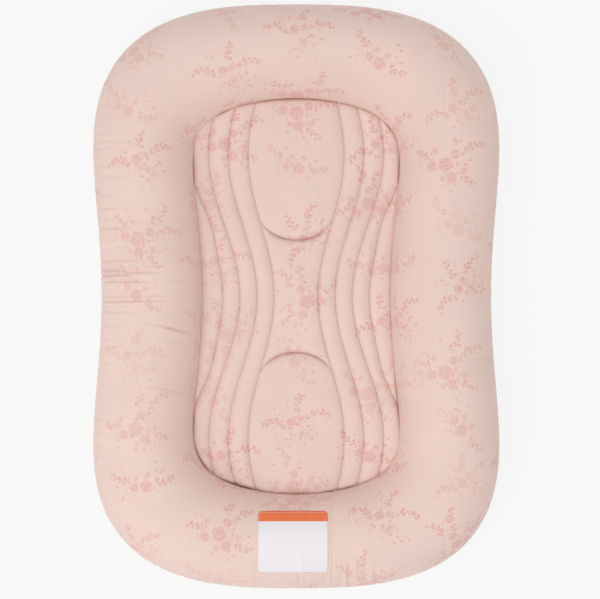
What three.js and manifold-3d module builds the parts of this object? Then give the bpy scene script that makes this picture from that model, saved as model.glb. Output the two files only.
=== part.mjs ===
// An infant lounger: a stuffed ring round a quilted pad, in a printed cotton cover that zips open underneath.
// Lengths are in millimetres. +Z is up, +Y is the head end and +X is the right side seen from above.
import * as THREE from "three";
import Module from "manifold-3d";
import { mergeVertices } from "three/addons/utils/BufferGeometryUtils.js";

const wasm = await Module();
wasm.setup();

// Outline of the whole lounger. Its width is taken before the corners round off and the waist draws in,
// so that the widest place measures 514.
const loungerLength = 737;
const loungerSquareWidth = 532;
const loungerEndPower = 4.7;
const loungerSidePower = 2.85;
const loungerWaistDepth = 20;
const loungerWaistReach = 290;

// Outline of the pad inside the ring, along the crease
const padLength = 501;
const padSquareWidth = 291;
const padEndPower = 8.1;
const padSidePower = 1.92;
const padWaistDepth = 26.5;
const padWaistReach = 318;

// Section of the ring
const ringHeight = 105;
const seamHeight = 40;
const creaseHeight = 42;
const footWidth = 60;
const sectionPower = 2.2;

// Cloth, the room between two layers of it, and the room at a seam
const cloth = 0.8;
const layerGap = 0.4;
const seamGap = 0.4;

// Underside: how far the base cloth and the insert's base lie above the floor inside the ring
const baseLift = 9;
const insertClearance = 0.6;

// Quilted pad
const quiltThickness = 8;
const padRise = 4;
const channelDepth = 6;
const stitchLines = 4;
const firstLineAtWaist = 27.8;
const lineSpacingAtWaist = 21.6;
const firstLineAtWidest = 60.7;
const lineSpacingAtWidest = 25;
const lineWave = 360;
const ovalTip = 70;
const ovalShoulder = 110;
const ovalRoundShare = 0.9;
const ovalSlope = 8;
const padCorner = 200;
const leastChannel = 1.2;
const crownPower = 4;

// Sewn patch on the foot end of the ring
const labelWidth = 86;
const labelHeight = 74;
const labelCorner = 5;
const labelThickness = 0.5;
const labelOffset = 4;
const labelRise = 6;

// Zip
const zipInset = 30;
const tapeWidth = 15;
const tapeThickness = 0.6;
const tapeOverrun = 10;
const coilWidth = 2.4;
const coilHeight = 2;
const chainSlit = 1.4;
const slotMargin = 3.4;
const slotOverrun = 6;
const runningGap = 0.35;
const stopLength = 3;
const bottomStopLength = 4;
const clipThickness = 0.5;

// Slider and pull
const sliderLength = 14;
const sliderFront = 10;
const sliderRear = 8.6;
const sliderPlate = 1;
const neckLength = 5;
const flangeLength = 9;
const bailWidth = 2.2;
const bailStrap = 0.9;
const pullLength = 21;
const pullWidth = 6.6;
const pullThickness = 1.2;
const eyeLength = 4;
const eyeSideGap = 0.4;
const pullWindow = 7;

// Fineness of the surfaces, in counts
const stationCount = 52;
const upperSteps = 8;
const rollSteps = 3;
const riseSteps = 2;
const channelSteps = 3;
const middleSteps = 6;
const rowsToOval = 4;
const rowsPastOval = 5;
const cornerSteps = 3;
const refinements = 40;
const footSteps = 1600;
const cutOverrun = 10;

// Share of a signed number raised to a power, with its sign kept
function signedPower(value, power) {
  return Math.sign(value) * Math.abs(value) ** power;
}

// Shares from 0 to 1 in even steps
function evenShares(steps) {
  return Array.from({ length: steps + 1 }, (_, index) => index / steps);
}

// A rounded outline with a waist, symmetric both ways, run counterclockwise from +X
class WaistedOutline extends THREE.Curve {
  constructor(length, width, endPower, sidePower, waistDepth, waistReach) {
    super();
    Object.assign(this, { endPower, sidePower, waistDepth, waistReach });
    this.halfLength = length / 2;
    this.halfWidth = width / 2;
    this.arcLengthDivisions = 4000;
  }

  // Share of the full width that is left at a place along the outline
  widthShare(y) {
    const wave = Math.abs(y) < this.waistReach ? (1 + Math.cos(Math.PI * y / this.waistReach)) / 2 : 0;
    return 1 - this.waistDepth * wave / this.halfWidth;
  }

  getPoint(share, target = new THREE.Vector2()) {
    const turn = 2 * Math.PI * share;
    const y = this.halfLength * signedPower(Math.sin(turn), 2 / this.endPower);
    const x = this.halfWidth * signedPower(Math.cos(turn), 2 / this.sidePower);
    return target.set(x * this.widthShare(y), y);
  }

  holds(point) {
    const across = Math.abs(point.x / (this.halfWidth * this.widthShare(point.y)));
    const along = Math.abs(point.y / this.halfLength);
    return across ** this.sidePower + along ** this.endPower < 1;
  }

  // Distance from a point inside the outline to the outline, along a direction
  distanceFrom(point, direction) {
    let near = 0;
    let far = this.halfLength;
    for (let step = 0; step < refinements; step += 1) {
      const middle = (near + far) / 2;
      if (this.holds(point.clone().addScaledVector(direction, middle))) near = middle;
      else far = middle;
    }
    return (near + far) / 2;
  }

  // The outline's own point that lies nearest to a point
  nearestTo(point) {
    this.spaced ??= this.getSpacedPoints(footSteps);
    const feet = this.spaced.slice(1).map((end, index) => {
      const start = this.spaced[index];
      const run = end.clone().sub(start);
      const share = THREE.MathUtils.clamp(point.clone().sub(start).dot(run) / run.lengthSq(), 0, 1);
      return start.clone().addScaledVector(run, share);
    });
    return feet.reduce((best, foot) => (foot.distanceTo(point) < best.distanceTo(point) ? foot : best));
  }
}

const loungerOutline = new WaistedOutline(
  loungerLength, loungerSquareWidth, loungerEndPower, loungerSidePower, loungerWaistDepth, loungerWaistReach,
);
const padOutline = new WaistedOutline(
  padLength, padSquareWidth, padEndPower, padSidePower, padWaistDepth, padWaistReach,
);
const ringLine = new WaistedOutline(
  (loungerLength + padLength) / 2, (loungerSquareWidth + padSquareWidth) / 2,
  (loungerEndPower + padEndPower) / 2, (loungerSidePower + padSidePower) / 2,
  (loungerWaistDepth + padWaistDepth) / 2, (loungerWaistReach + padWaistReach) / 2,
);

// A place round the ring, where its section stands square to the pad's outline
function stationAt(share) {
  const point = ringLine.getPointAt(share);
  const foot = padOutline.nearestTo(point);
  const outward = point.clone().sub(foot).normalize();
  const width = point.distanceTo(foot) + loungerOutline.distanceFrom(point, outward);
  return { centre: foot.addScaledVector(outward, width / 2), outward, half: width / 2 };
}

const stations = evenShares(stationCount).slice(0, stationCount).map(stationAt);

function place(station, across, height) {
  const { centre, outward } = station;
  return new THREE.Vector3(centre.x + outward.x * across, centre.y + outward.y * across, height);
}

// The ring's upper side in section, from the outer seam over the top to the crease
function upperLine(station, inset) {
  return evenShares(upperSteps).map((share) => {
    const turn = Math.PI * share;
    const across = (station.half - inset) * signedPower(Math.cos(turn), 2 / sectionPower);
    const edge = THREE.MathUtils.lerp(seamHeight + seamGap / 2, creaseHeight, share);
    const height = edge + (ringHeight - inset - edge) * Math.abs(Math.sin(turn)) ** (2 / sectionPower);
    return place(station, across, height);
  });
}

// The underside in section, from the outer seam under the ring and up to the level inside it
function lowerLine(station, inset, lift) {
  const foot = footWidth / 2;
  const reach = station.half - inset - foot;
  const roll = evenShares(rollSteps).map((share) => {
    const turn = Math.PI / 2 * (1 - share);
    const height = inset + (seamHeight - seamGap / 2 - inset) * (1 - Math.cos(turn));
    return place(station, foot + reach * Math.sin(turn), height);
  });
  const rise = evenShares(riseSteps).map((share) => (
    place(station, -foot - reach * share, inset + (lift - inset) * share ** 2)
  ));
  return [...roll, ...rise];
}

// Collects points and triangles into one closed body
class Body {
  points = [];
  corners = [];

  addPoints(points) {
    return points.map((point) => this.points.push(point) - 1);
  }

  triangle(a, b, c) {
    this.corners.push(a, b, c);
  }

  // A quad is split along its shorter diagonal, so that layers over each other are split alike
  quad(a, b, c, d) {
    const [first, second, third, fourth] = [a, b, c, d].map((corner) => this.points[corner]);
    if (first.distanceTo(third) < second.distanceTo(fourth)) {
      this.triangle(a, b, c);
      this.triangle(a, c, d);
    } else {
      this.triangle(b, c, d);
      this.triangle(b, d, a);
    }
  }

  // The strip between two lines of points with as many points each
  bridge(line, next) {
    for (let index = 0; index + 1 < line.length; index += 1) {
      this.quad(line[index], next[index], next[index + 1], line[index + 1]);
    }
  }

  geometry() {
    const made = new THREE.BufferGeometry().setFromPoints(this.points);
    made.setIndex(this.corners);
    return made;
  }
}

// A body that runs all round the ring with one closed loop of points at each station
function closedRing(loopAt) {
  const body = new Body();
  const loops = stations.map((station) => {
    const loop = body.addPoints(loopAt(station));
    return [...loop, loop[0]];
  });
  loops.forEach((loop, index) => body.bridge(loop, loops[(index + 1) % loops.length]));
  return body.geometry();
}

// A layer of cloth over the ring, between two insets
function upperCloth(outerInset, innerInset) {
  return closedRing((station) => [
    ...upperLine(station, outerInset), ...upperLine(station, innerInset).reverse(),
  ]);
}

// A layer of cloth under the ring and right across the middle
function baseCloth(inset, lift) {
  const body = new Body();
  const lines = stations.map((station) => body.addPoints([
    ...lowerLine(station, inset, lift).reverse(), ...lowerLine(station, inset + cloth, lift + cloth),
  ]));
  const under = body.addPoints([new THREE.Vector3(0, 0, lift)])[0];
  const over = body.addPoints([new THREE.Vector3(0, 0, lift + cloth)])[0];
  lines.forEach((line, index) => {
    const next = lines[(index + 1) % lines.length];
    body.bridge(line, next);
    body.triangle(under, next[0], line[0]);
    body.triangle(over, line.at(-1), next.at(-1));
  });
  return body.geometry();
}

function solidOf(geometry) {
  const bare = geometry.clone();
  bare.deleteAttribute("normal");
  bare.deleteAttribute("uv");
  const merged = mergeVertices(bare);
  return new wasm.Manifold(new wasm.Mesh({
    numProp: 3,
    vertProperties: new Float32Array(merged.attributes.position.array),
    triVerts: new Uint32Array(merged.index.array),
  }));
}

function geometryOf(solid) {
  const mesh = solid.getMesh();
  const made = new THREE.BufferGeometry();
  made.setAttribute("position", new THREE.BufferAttribute(mesh.vertProperties, mesh.numProp));
  made.setIndex(new THREE.BufferAttribute(mesh.triVerts, 1));
  return made;
}

// A box between two opposite corners
function boxBetween(low, high) {
  const size = new THREE.Vector3().subVectors(high, low);
  const middle = new THREE.Vector3().addVectors(low, high).divideScalar(2);
  return new THREE.BoxGeometry(size.x, size.y, size.z).translate(middle.x, middle.y, middle.z);
}

// A flat outline given a thickness, with its underside at a height
function plate(shape, thickness, bottom) {
  const options = { depth: thickness, bevelEnabled: false, curveSegments: cornerSteps };
  return new THREE.ExtrudeGeometry(shape, options).translate(0, 0, bottom);
}

// An outline drawn in X and Z, run along Y between two places
function runAlong(shape, from, to) {
  const options = { depth: to - from, bevelEnabled: false, curveSegments: cornerSteps };
  return new THREE.ExtrudeGeometry(shape, options).rotateX(Math.PI / 2).translate(0, to, 0);
}

function roundedRectangle(centre, width, height, radius) {
  const left = centre.x - width / 2;
  const right = centre.x + width / 2;
  const low = centre.y - height / 2;
  const high = centre.y + height / 2;
  const shape = new THREE.Shape();
  shape.moveTo(left + radius, low);
  shape.lineTo(right - radius, low);
  shape.absarc(right - radius, low + radius, radius, -Math.PI / 2, 0);
  shape.absarc(right - radius, high - radius, radius, 0, Math.PI / 2);
  shape.absarc(left + radius, high - radius, radius, Math.PI / 2, Math.PI);
  shape.absarc(left + radius, low + radius, radius, Math.PI, 3 * Math.PI / 2);
  return shape;
}

// The pad's edge, just inside the crease, as one point for each station
const padEdge = stations.map((station) => {
  const point = place(station, -station.half - seamGap, 0);
  return new THREE.Vector2(point.x, point.y);
});

// Where the pad's edge crosses a line on the positive side: its x at a height y, or its y at a width x
function edgeCrossing(known, wanted, value) {
  const crossings = padEdge.map((point, index) => {
    const next = padEdge[(index + 1) % padEdge.length];
    const share = (value - point[known]) / (next[known] - point[known]);
    return share >= 0 && share <= 1 ? THREE.MathUtils.lerp(point[wanted], next[wanted], share) : 0;
  });
  return Math.max(...crossings);
}

const edgeX = (y) => edgeCrossing("y", "x", y);
const edgeY = (x) => edgeCrossing("x", "y", x);

// Distance from the pad's middle to a stitch line, at a place along the pad
function stitchLine(line, y) {
  const atWaist = firstLineAtWaist + lineSpacingAtWaist * (line - 1);
  const atWidest = firstLineAtWidest + lineSpacingAtWidest * (line - 1);
  const share = (1 - Math.cos(2 * Math.PI * y / lineWave)) / 2;
  return THREE.MathUtils.lerp(atWaist, atWidest, share);
}

// Share of the way from an oval's tip to its shoulder, at a share of the way to the first stitch line
function ovalShare(across) {
  const sag = (share) => 1 - Math.sqrt(1 - (ovalRoundShare * share) ** 2);
  return sag(across) / sag(1);
}

// Place along the pad of one row, where the oval row lies at oval and the pad ends at end.
// The rows on either side of the oval row lie close to it, at the foot of its slopes.
function rowPlace(row, oval, end) {
  if (row === rowsToOval) return oval;
  const before = oval - ovalSlope;
  const after = oval + ovalSlope;
  if (row < rowsToOval) return before * row / (rowsToOval - 1);
  return after + (end - after) * (row - rowsToOval - 1) / (rowsPastOval - 1);
}

const lastRow = rowsToOval + rowsPastOval;

// The main points of one row on the pad's right side: the stitch lines in order, then the pad's edge.
// A line that has run into the edge goes on as a plain column between its neighbours. The room of a point
// is the width of its channel.
function rowKeys(row) {
  const edgePlace = rowPlace(row, ovalShoulder, padCorner);
  const edge = edgeX(edgePlace);
  const keys = [];
  for (let line = 1; line <= stitchLines; line += 1) {
    let y = rowPlace(row, ovalShoulder, padLength / 2);
    for (let step = 0; step < refinements; step += 1) {
      y = rowPlace(row, ovalShoulder, edgeY(stitchLine(line, y)));
    }
    const sewn = stitchLine(line, y) < edge - leastChannel;
    const last = line > 1 ? keys.at(-1).x : 0;
    const x = sewn ? stitchLine(line, y) : (last + edge) / 2;
    keys.push({ x, y: sewn ? y : rowPlace(row, ovalShoulder, edgeY(x)), sewn, room: edge - last });
  }
  keys.push({ x: edge, y: edgePlace, rim: true });
  return keys;
}

// One row on the right side, from the pad's middle out to its edge
function halfRow(row) {
  const keys = rowKeys(row);
  const points = [];
  for (let step = 0; step < middleSteps / 2; step += 1) {
    const share = step / (middleSteps / 2);
    const x = keys[0].x * share;
    const oval = THREE.MathUtils.lerp(ovalTip, ovalShoulder, ovalShare(share));
    points.push({ x, y: rowPlace(row, oval, edgeY(x)), sewn: row === rowsToOval, room: 2 * keys[0].x });
  }
  keys.forEach((key, index) => {
    points.push(key);
    const next = keys[index + 1];
    for (let step = 1; next && step < channelSteps; step += 1) {
      const x = THREE.MathUtils.lerp(key.x, next.x, step / channelSteps);
      const y = THREE.MathUtils.lerp(key.y, next.y, step / channelSteps);
      const room = key.sewn && (next.sewn || next.rim) ? next.x - key.x : key.room;
      points.push({ x, y: row === lastRow ? edgeY(x) : y, room });
    }
  });
  return points;
}

// Height of the pad's top above the crease. A narrow channel rises less than a full one.
function puff(point) {
  if (point.rim) return 0;
  const across = (point.x / edgeX(point.y)) ** crownPower;
  const along = (point.y / edgeY(point.x)) ** crownPower;
  const fullness = point.sewn ? 0 : Math.min(1, point.room / lineSpacingAtWaist);
  return padRise * (1 - across) * (1 - along) + channelDepth * fullness;
}

// The whole pad as rows of points from the foot end to the head end, each from left to right
function padRows() {
  const headRows = Array.from({ length: lastRow + 1 }, (_, row) => {
    const right = halfRow(row).map((point) => ({ ...point, rim: point.rim || row === lastRow }));
    const left = right.slice(1).reverse().map((point) => ({ ...point, x: -point.x }));
    const raised = (point) => ({ ...point, rise: puff({ ...point, x: Math.abs(point.x) }) });
    return [...left, ...right].map(raised);
  });
  const footRows = headRows.slice(1).reverse().map((row) => row.map((point) => ({ ...point, y: -point.y })));
  return [...footRows, ...headRows];
}

const quiltRows = padRows();

// The points round the border of the quilt rows, counterclockwise
function borderOf(rows) {
  const right = rows.slice(1, -1).map((row) => row.at(-1));
  const left = rows.slice(1, -1).map((row) => row[0]).reverse();
  return [...rows[0], ...right, ...[...rows.at(-1)].reverse(), ...left];
}

// The quilt's upper surface at a depth under the top cloth's face
function quiltSurface(body, depth) {
  return quiltRows.map((row) => body.addPoints(
    row.map((point) => new THREE.Vector3(point.x, point.y, creaseHeight + point.rise - depth)),
  ));
}

function quiltTopCloth() {
  const body = new Body();
  const over = quiltSurface(body, 0);
  const under = quiltSurface(body, cloth);
  over.slice(1).forEach((row, index) => {
    body.bridge(row, over[index]);
    body.bridge(under[index], under[index + 1]);
  });
  const upperBorder = borderOf(over);
  const lowerBorder = borderOf(under);
  body.bridge([...upperBorder, upperBorder[0]], [...lowerBorder, lowerBorder[0]]);
  return body.geometry();
}

const backingTop = creaseHeight - quiltThickness + cloth;

// Batting: channelled on top like the cloth over it, flat underneath
function battingBody() {
  const body = new Body();
  const over = quiltSurface(body, cloth + layerGap);
  over.slice(1).forEach((row, index) => body.bridge(row, over[index]));
  const border = borderOf(quiltRows);
  const bottom = backingTop + layerGap;
  const under = body.addPoints(border.map((point) => new THREE.Vector3(point.x, point.y, bottom)));
  const upperBorder = borderOf(over);
  body.bridge([...upperBorder, upperBorder[0]], [...under, under[0]]);
  const flat = border.map((point) => new THREE.Vector2(point.x, point.y));
  THREE.ShapeUtils.triangulateShape(flat, []).forEach(([a, b, c]) => {
    body.triangle(under[a], under[c], under[b]);
  });
  return body.geometry();
}

const padShape = new THREE.Shape(padEdge);
const labelPlace = new THREE.Vector2(-labelOffset, labelRise - (loungerLength + padLength) / 4);

// A sheet that follows the ring's upper side, cut to an outline seen from above
function patchOnRing(outline) {
  const sheet = upperCloth(-layerGap - labelThickness, -layerGap);
  const cutter = plate(outline, ringHeight - creaseHeight + cutOverrun, creaseHeight);
  return geometryOf(solidOf(sheet).intersect(solidOf(cutter)));
}

// Levels of the zip, from the base cloth upwards and downwards
const zipHalf = padLength / 2 - zipInset;
const tapeBottom = baseLift + cloth + layerGap;
const tapeTop = tapeBottom + tapeThickness;
const coilTop = tapeBottom - layerGap;
const coilBottom = coilTop - coilHeight;
const upperPlateBottom = tapeTop + runningGap;
const upperPlateTop = upperPlateBottom + sliderPlate;
const lowerPlateTop = coilBottom - runningGap;
const lowerPlateBottom = lowerPlateTop - sliderPlate;
const insertLift = upperPlateTop + insertClearance;
const barSwing = pullThickness / Math.SQRT2 + runningGap;
const pullAxisHeight = lowerPlateBottom - barSwing;
const coilOuter = chainSlit / 2 + coilWidth;
const slotHalf = coilOuter + slotMargin;
const sliderPlace = zipHalf - sliderLength / 2 - runningGap;
const neckWidth = chainSlit - 2 * runningGap;

// One half of the base panel, on the side named by sign
function basePanel(sign) {
  const slot = boxBetween(
    new THREE.Vector3(-slotHalf, -zipHalf - slotOverrun, baseLift - cutOverrun),
    new THREE.Vector3(slotHalf, zipHalf + slotOverrun, baseLift + cutOverrun),
  );
  const side = boxBetween(
    new THREE.Vector3(seamGap / 2, -loungerLength, -cutOverrun),
    new THREE.Vector3(loungerSquareWidth, loungerLength, ringHeight),
  ).rotateZ(sign > 0 ? 0 : Math.PI);
  return geometryOf(solidOf(baseCloth(0, baseLift)).subtract(solidOf(slot)).intersect(solidOf(side)));
}

// One side of the zip: the strip of woven tape and the coil along its inner edge
function zipTape(sign) {
  const inner = chainSlit / 2;
  const outer = inner + tapeWidth;
  return boxBetween(
    new THREE.Vector3(sign > 0 ? inner : -outer, -zipHalf - tapeOverrun, tapeBottom),
    new THREE.Vector3(sign > 0 ? outer : -inner, zipHalf + tapeOverrun, tapeTop),
  );
}

function zipCoil(sign) {
  const middle = sign * (chainSlit + coilWidth) / 2;
  const shape = new THREE.Shape();
  shape.absellipse(middle, (coilTop + coilBottom) / 2, coilWidth / 2, coilHeight / 2, 0, 2 * Math.PI);
  return runAlong(shape, -zipHalf, zipHalf);
}

// A metal clip folded round the inner edge of one tape
function topStop(sign) {
  const inner = sign * (chainSlit / 2 - runningGap - clipThickness / 2);
  const fold = sign * (chainSlit / 2 - runningGap + clipThickness / 2 - layerGap / 2);
  const outer = sign * coilOuter;
  const shape = new THREE.Shape([
    new THREE.Vector2(inner, tapeBottom - layerGap - clipThickness),
    new THREE.Vector2(outer, tapeBottom - layerGap - clipThickness),
    new THREE.Vector2(outer, tapeBottom - layerGap),
    new THREE.Vector2(fold, tapeBottom - layerGap),
    new THREE.Vector2(fold, tapeTop + layerGap),
    new THREE.Vector2(outer, tapeTop + layerGap),
    new THREE.Vector2(outer, tapeTop + layerGap + clipThickness),
    new THREE.Vector2(inner, tapeTop + layerGap + clipThickness),
  ]);
  return runAlong(shape, zipHalf + layerGap, zipHalf + layerGap + stopLength);
}

// A metal clip that joins both tapes at the foot end of the chain
function bottomStop() {
  const web = neckWidth / 2;
  const below = tapeBottom - layerGap;
  const above = tapeTop + layerGap;
  const shape = new THREE.Shape([
    new THREE.Vector2(-coilOuter, below - clipThickness),
    new THREE.Vector2(coilOuter, below - clipThickness),
    new THREE.Vector2(coilOuter, below),
    new THREE.Vector2(web, below),
    new THREE.Vector2(web, above),
    new THREE.Vector2(coilOuter, above),
    new THREE.Vector2(coilOuter, above + clipThickness),
    new THREE.Vector2(-coilOuter, above + clipThickness),
    new THREE.Vector2(-coilOuter, above),
    new THREE.Vector2(-web, above),
    new THREE.Vector2(-web, below),
    new THREE.Vector2(-coilOuter, below),
  ]);
  return runAlong(shape, -zipHalf - layerGap - bottomStopLength, -zipHalf - layerGap);
}

// The slider round the chain: two plates joined by a neck, flanges beside the coils and a bail for the pull
function zipSlider() {
  const half = sliderLength / 2;
  const front = sliderFront / 2;
  const rear = sliderRear / 2;
  const outline = new THREE.Shape();
  outline.moveTo(-rear, -half);
  outline.lineTo(rear, -half);
  outline.lineTo(front, 0);
  outline.quadraticCurveTo(front, half, 0, half);
  outline.quadraticCurveTo(-front, half, -front, 0);
  const inner = coilOuter + runningGap;
  const flange = (sign) => boxBetween(
    new THREE.Vector3(sign > 0 ? inner : -rear, -half, lowerPlateTop - sliderPlate / 2),
    new THREE.Vector3(sign > 0 ? rear : -inner, flangeLength - half, tapeBottom - runningGap),
  );
  const neck = boxBetween(
    new THREE.Vector3(-neckWidth / 2, half - neckLength - bailStrap, lowerPlateTop - sliderPlate / 2),
    new THREE.Vector3(neckWidth / 2, half - bailStrap, upperPlateBottom + sliderPlate / 2),
  );
  const bailFoot = lowerPlateBottom + sliderPlate / 2;
  const bail = boxBetween(
    new THREE.Vector3(-bailWidth / 2, -barSwing - bailStrap, pullAxisHeight - barSwing - bailStrap),
    new THREE.Vector3(bailWidth / 2, barSwing + bailStrap, bailFoot),
  );
  const bailHole = boxBetween(
    new THREE.Vector3(-bailWidth, -barSwing, pullAxisHeight - barSwing),
    new THREE.Vector3(bailWidth, barSwing, lowerPlateBottom),
  );
  const strap = solidOf(bail).subtract(solidOf(bailHole));
  return geometryOf([
    solidOf(plate(outline, sliderPlate, upperPlateBottom)), solidOf(neck), solidOf(flange(1)),
    solidOf(flange(-1)), strap,
  ].reduce((whole, piece) => whole.add(piece), solidOf(plate(outline, sliderPlate, lowerPlateBottom))));
}

// The pull, lying towards the foot end. Its end bar passes through the slider's bail.
function zipPull() {
  const bar = pullThickness / 2;
  const middle = new THREE.Vector2(0, bar - pullLength / 2);
  const shape = roundedRectangle(middle, pullWidth, pullLength, bar);
  const eyeHalf = bailWidth / 2 + eyeSideGap;
  const eye = roundedRectangle(new THREE.Vector2(0, -bar - eyeLength / 2), 2 * eyeHalf, eyeLength, bar / 2);
  const tailMiddle = -bar - eyeLength - bar - pullWindow / 2;
  const tailWidth = pullWidth - 4 * bar;
  const window = roundedRectangle(new THREE.Vector2(0, tailMiddle - bar), tailWidth, pullWindow, bar);
  shape.holes.push(eye, window);
  return plate(shape, pullThickness, pullAxisHeight - bar);
}

const fabric = (color) => new THREE.MeshStandardMaterial({ color, roughness: 0.9, metalness: 0 });
const printedCotton = fabric(0xe8cdc3);
const plainCotton = fabric(0xebd3ca);
const whiteLining = fabric(0xf3efe9);
const polyesterFill = fabric(0xf7f6f3);
const labelSatin = fabric(0xeae5e6);
const zipWeave = fabric(0xe6ccc2);
const nylon = new THREE.MeshStandardMaterial({ color: 0xe9d3ca, roughness: 0.45, metalness: 0 });
const zinc = new THREE.MeshStandardMaterial({ color: 0xb9b5ae, roughness: 0.35, metalness: 1 });

function named(name, geometry, material) {
  const mesh = new THREE.Mesh(geometry, material);
  mesh.name = name;
  return mesh;
}

// The outer cover: ring panel, quilted pad, base panels and sewn patch
function coverGroup() {
  const labelOutline = roundedRectangle(labelPlace, labelWidth, labelHeight, labelCorner);
  return new THREE.Group().add(
    named("bolster_cover", upperCloth(0, cloth), printedCotton),
    named("quilt_top_cloth", quiltTopCloth(), printedCotton),
    named("quilt_batting", battingBody(), polyesterFill),
    named("quilt_backing_cloth", plate(padShape, cloth, backingTop - cloth), plainCotton),
    named("base_panel_left", basePanel(-1), plainCotton),
    named("base_panel_right", basePanel(1), plainCotton),
    named("label_patch", patchOnRing(labelOutline), labelSatin),
  );
}

// The stuffed insert that slides out through the zip
function insertGroup() {
  const inset = cloth + layerGap;
  const fillInset = 2 * inset;
  const wallFoot = insertLift + cloth + layerGap;
  const wallAt = (station, depth) => place(station, depth - station.half, wallFoot);
  const ringTop = closedRing((station) => [
    ...upperLine(station, inset), wallAt(station, inset), wallAt(station, inset + cloth),
    ...upperLine(station, inset + cloth).reverse(),
  ]);
  const ringFill = closedRing((station) => [
    ...upperLine(station, fillInset), ...lowerLine(station, fillInset, wallFoot).reverse().slice(0, -1),
  ]);
  const centreTop = backingTop - cloth - layerGap;
  const fillTop = centreTop - cloth - layerGap;
  return new THREE.Group().add(
    named("insert_ring_top", ringTop, whiteLining),
    named("insert_ring_fill", ringFill, polyesterFill),
    named("insert_centre_top", plate(padShape, cloth, centreTop - cloth), whiteLining),
    named("insert_centre_fill", plate(padShape, fillTop - wallFoot, wallFoot), polyesterFill),
    named("insert_base", baseCloth(inset, insertLift), whiteLining),
  );
}

// The zip along the middle of the base, closed, with its slider at the head end
function zipGroup() {
  const slider = new THREE.Group();
  slider.position.y = sliderPlace;
  slider.add(named("zip_slider", zipSlider(), zinc), named("zip_pull", zipPull(), zinc));
  return new THREE.Group().add(
    named("zip_tape_left", zipTape(-1), zipWeave),
    named("zip_tape_right", zipTape(1), zipWeave),
    named("zip_coil_left", zipCoil(-1), nylon),
    named("zip_coil_right", zipCoil(1), nylon),
    named("zip_top_stop_left", topStop(-1), zinc),
    named("zip_top_stop_right", topStop(1), zinc),
    named("zip_bottom_stop", bottomStop(), zinc),
    slider,
  );
}

export default new THREE.Group().add(coverGroup(), insertGroup(), zipGroup());
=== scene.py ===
"""An infant lounger: a stuffed ring round a quilted pad, in a printed cotton cover that zips open underneath.

Lengths are in millimetres until a mesh is made. +Y is the head end, +X the right side and +Z up.
"""

import logging
import math
from collections.abc import Callable
from dataclasses import dataclass
from enum import Enum
from functools import partial

import bpy
import numpy as np
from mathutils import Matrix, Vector
from mathutils.bvhtree import BVHTree
from mathutils.geometry import delaunay_2d_cdt
from mathutils.kdtree import KDTree


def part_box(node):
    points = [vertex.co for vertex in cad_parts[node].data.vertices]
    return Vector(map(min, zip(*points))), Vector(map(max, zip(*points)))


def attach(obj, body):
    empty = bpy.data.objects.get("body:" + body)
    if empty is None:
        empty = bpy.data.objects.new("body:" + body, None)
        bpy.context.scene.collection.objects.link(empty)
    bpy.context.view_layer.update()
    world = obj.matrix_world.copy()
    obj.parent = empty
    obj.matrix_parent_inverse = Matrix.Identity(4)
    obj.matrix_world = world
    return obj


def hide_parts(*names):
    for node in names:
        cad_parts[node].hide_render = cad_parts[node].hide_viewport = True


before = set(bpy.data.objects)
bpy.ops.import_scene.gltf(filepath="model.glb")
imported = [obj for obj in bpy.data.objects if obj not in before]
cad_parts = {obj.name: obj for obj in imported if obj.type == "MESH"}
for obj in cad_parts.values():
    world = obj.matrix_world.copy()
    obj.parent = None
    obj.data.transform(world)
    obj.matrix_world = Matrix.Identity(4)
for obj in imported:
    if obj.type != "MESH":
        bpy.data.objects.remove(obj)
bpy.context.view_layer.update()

MM = 0.001
LOG = logging.getLogger("lounger")

Array = np.ndarray
Piece = bpy.types.Object
Tree = bpy.types.NodeTree
Node = bpy.types.Node
Socket = bpy.types.NodeSocket
AddNode = Callable[..., Node]
Inputs = dict[str, Node | Socket]

UP = np.array([0.0, 0.0, 1.0])


class Edge(Enum):
    """The two edges of the ring's upper panel."""

    SEAM = "outer seam"
    CREASE = "crease"


class Side(Enum):
    """The two halves of the underside. The value is the sign of x there."""

    LEFT = -1
    RIGHT = 1


class Motif(Enum):
    """What a mark of the print draws. The value is the number that the finish reads."""

    SPRIG = 1
    ROSE = 2
    BLOSSOM = 3
    FOLIAGE = 4


# Numbers and lines


def signed_power(values: Array, power: float) -> Array:
    """Raise values to a power and keep their signs."""
    return np.sign(values) * np.abs(values) ** power


def fade(values: Array) -> Array:
    """Fall smoothly from 1 at zero to 0 at one, and stay there."""
    held = np.clip(values, 0.0, 1.0)
    return 1 - held * held * (3 - 2 * held)


def hump(values: Array) -> Array:
    """Rise from 0 at zero to 1 at one like a quarter of a circle, and stay there."""
    return np.sqrt(1 - (1 - np.clip(values, 0.0, 1.0)) ** 2)


def bell(values: Array) -> Array:
    """Fall away on both sides of zero, where it is 1."""
    return np.exp(-values * values)


def unit(vectors: Array) -> Array:
    """Scale vectors to a length of 1."""
    lengths = np.linalg.norm(vectors, axis=-1, keepdims=True)
    return vectors / np.maximum(lengths, 1e-12)


def lifted(flat: Array, height: Array | float) -> Array:
    """Flat points set at a height."""
    heights = np.broadcast_to(height, flat.shape[:-1])
    return np.concatenate([flat, heights[..., None]], axis=-1)


def lengths_along(line: Array) -> Array:
    """Length from the start of a line of points, or of each line of a grid, to each of its points."""
    steps = np.linalg.norm(np.diff(line, axis=-2), axis=-1)
    return np.concatenate([np.zeros((*steps.shape[:-1], 1)), np.cumsum(steps, axis=-1)], axis=-1)


def points_along(line: Array, places: Array) -> Array:
    """Points of a line at lengths from its start."""
    known = lengths_along(line)
    return np.stack([np.interp(places, known, line[:, axis]) for axis in range(line.shape[1])], axis=-1)


def spaced(line: Array, spacing: float) -> Array:
    """Points of a line at even steps close to a spacing, both ends included."""
    total = lengths_along(line)[-1]
    return points_along(line, np.linspace(0, total, max(2, round(total / spacing) + 1)))


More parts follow.
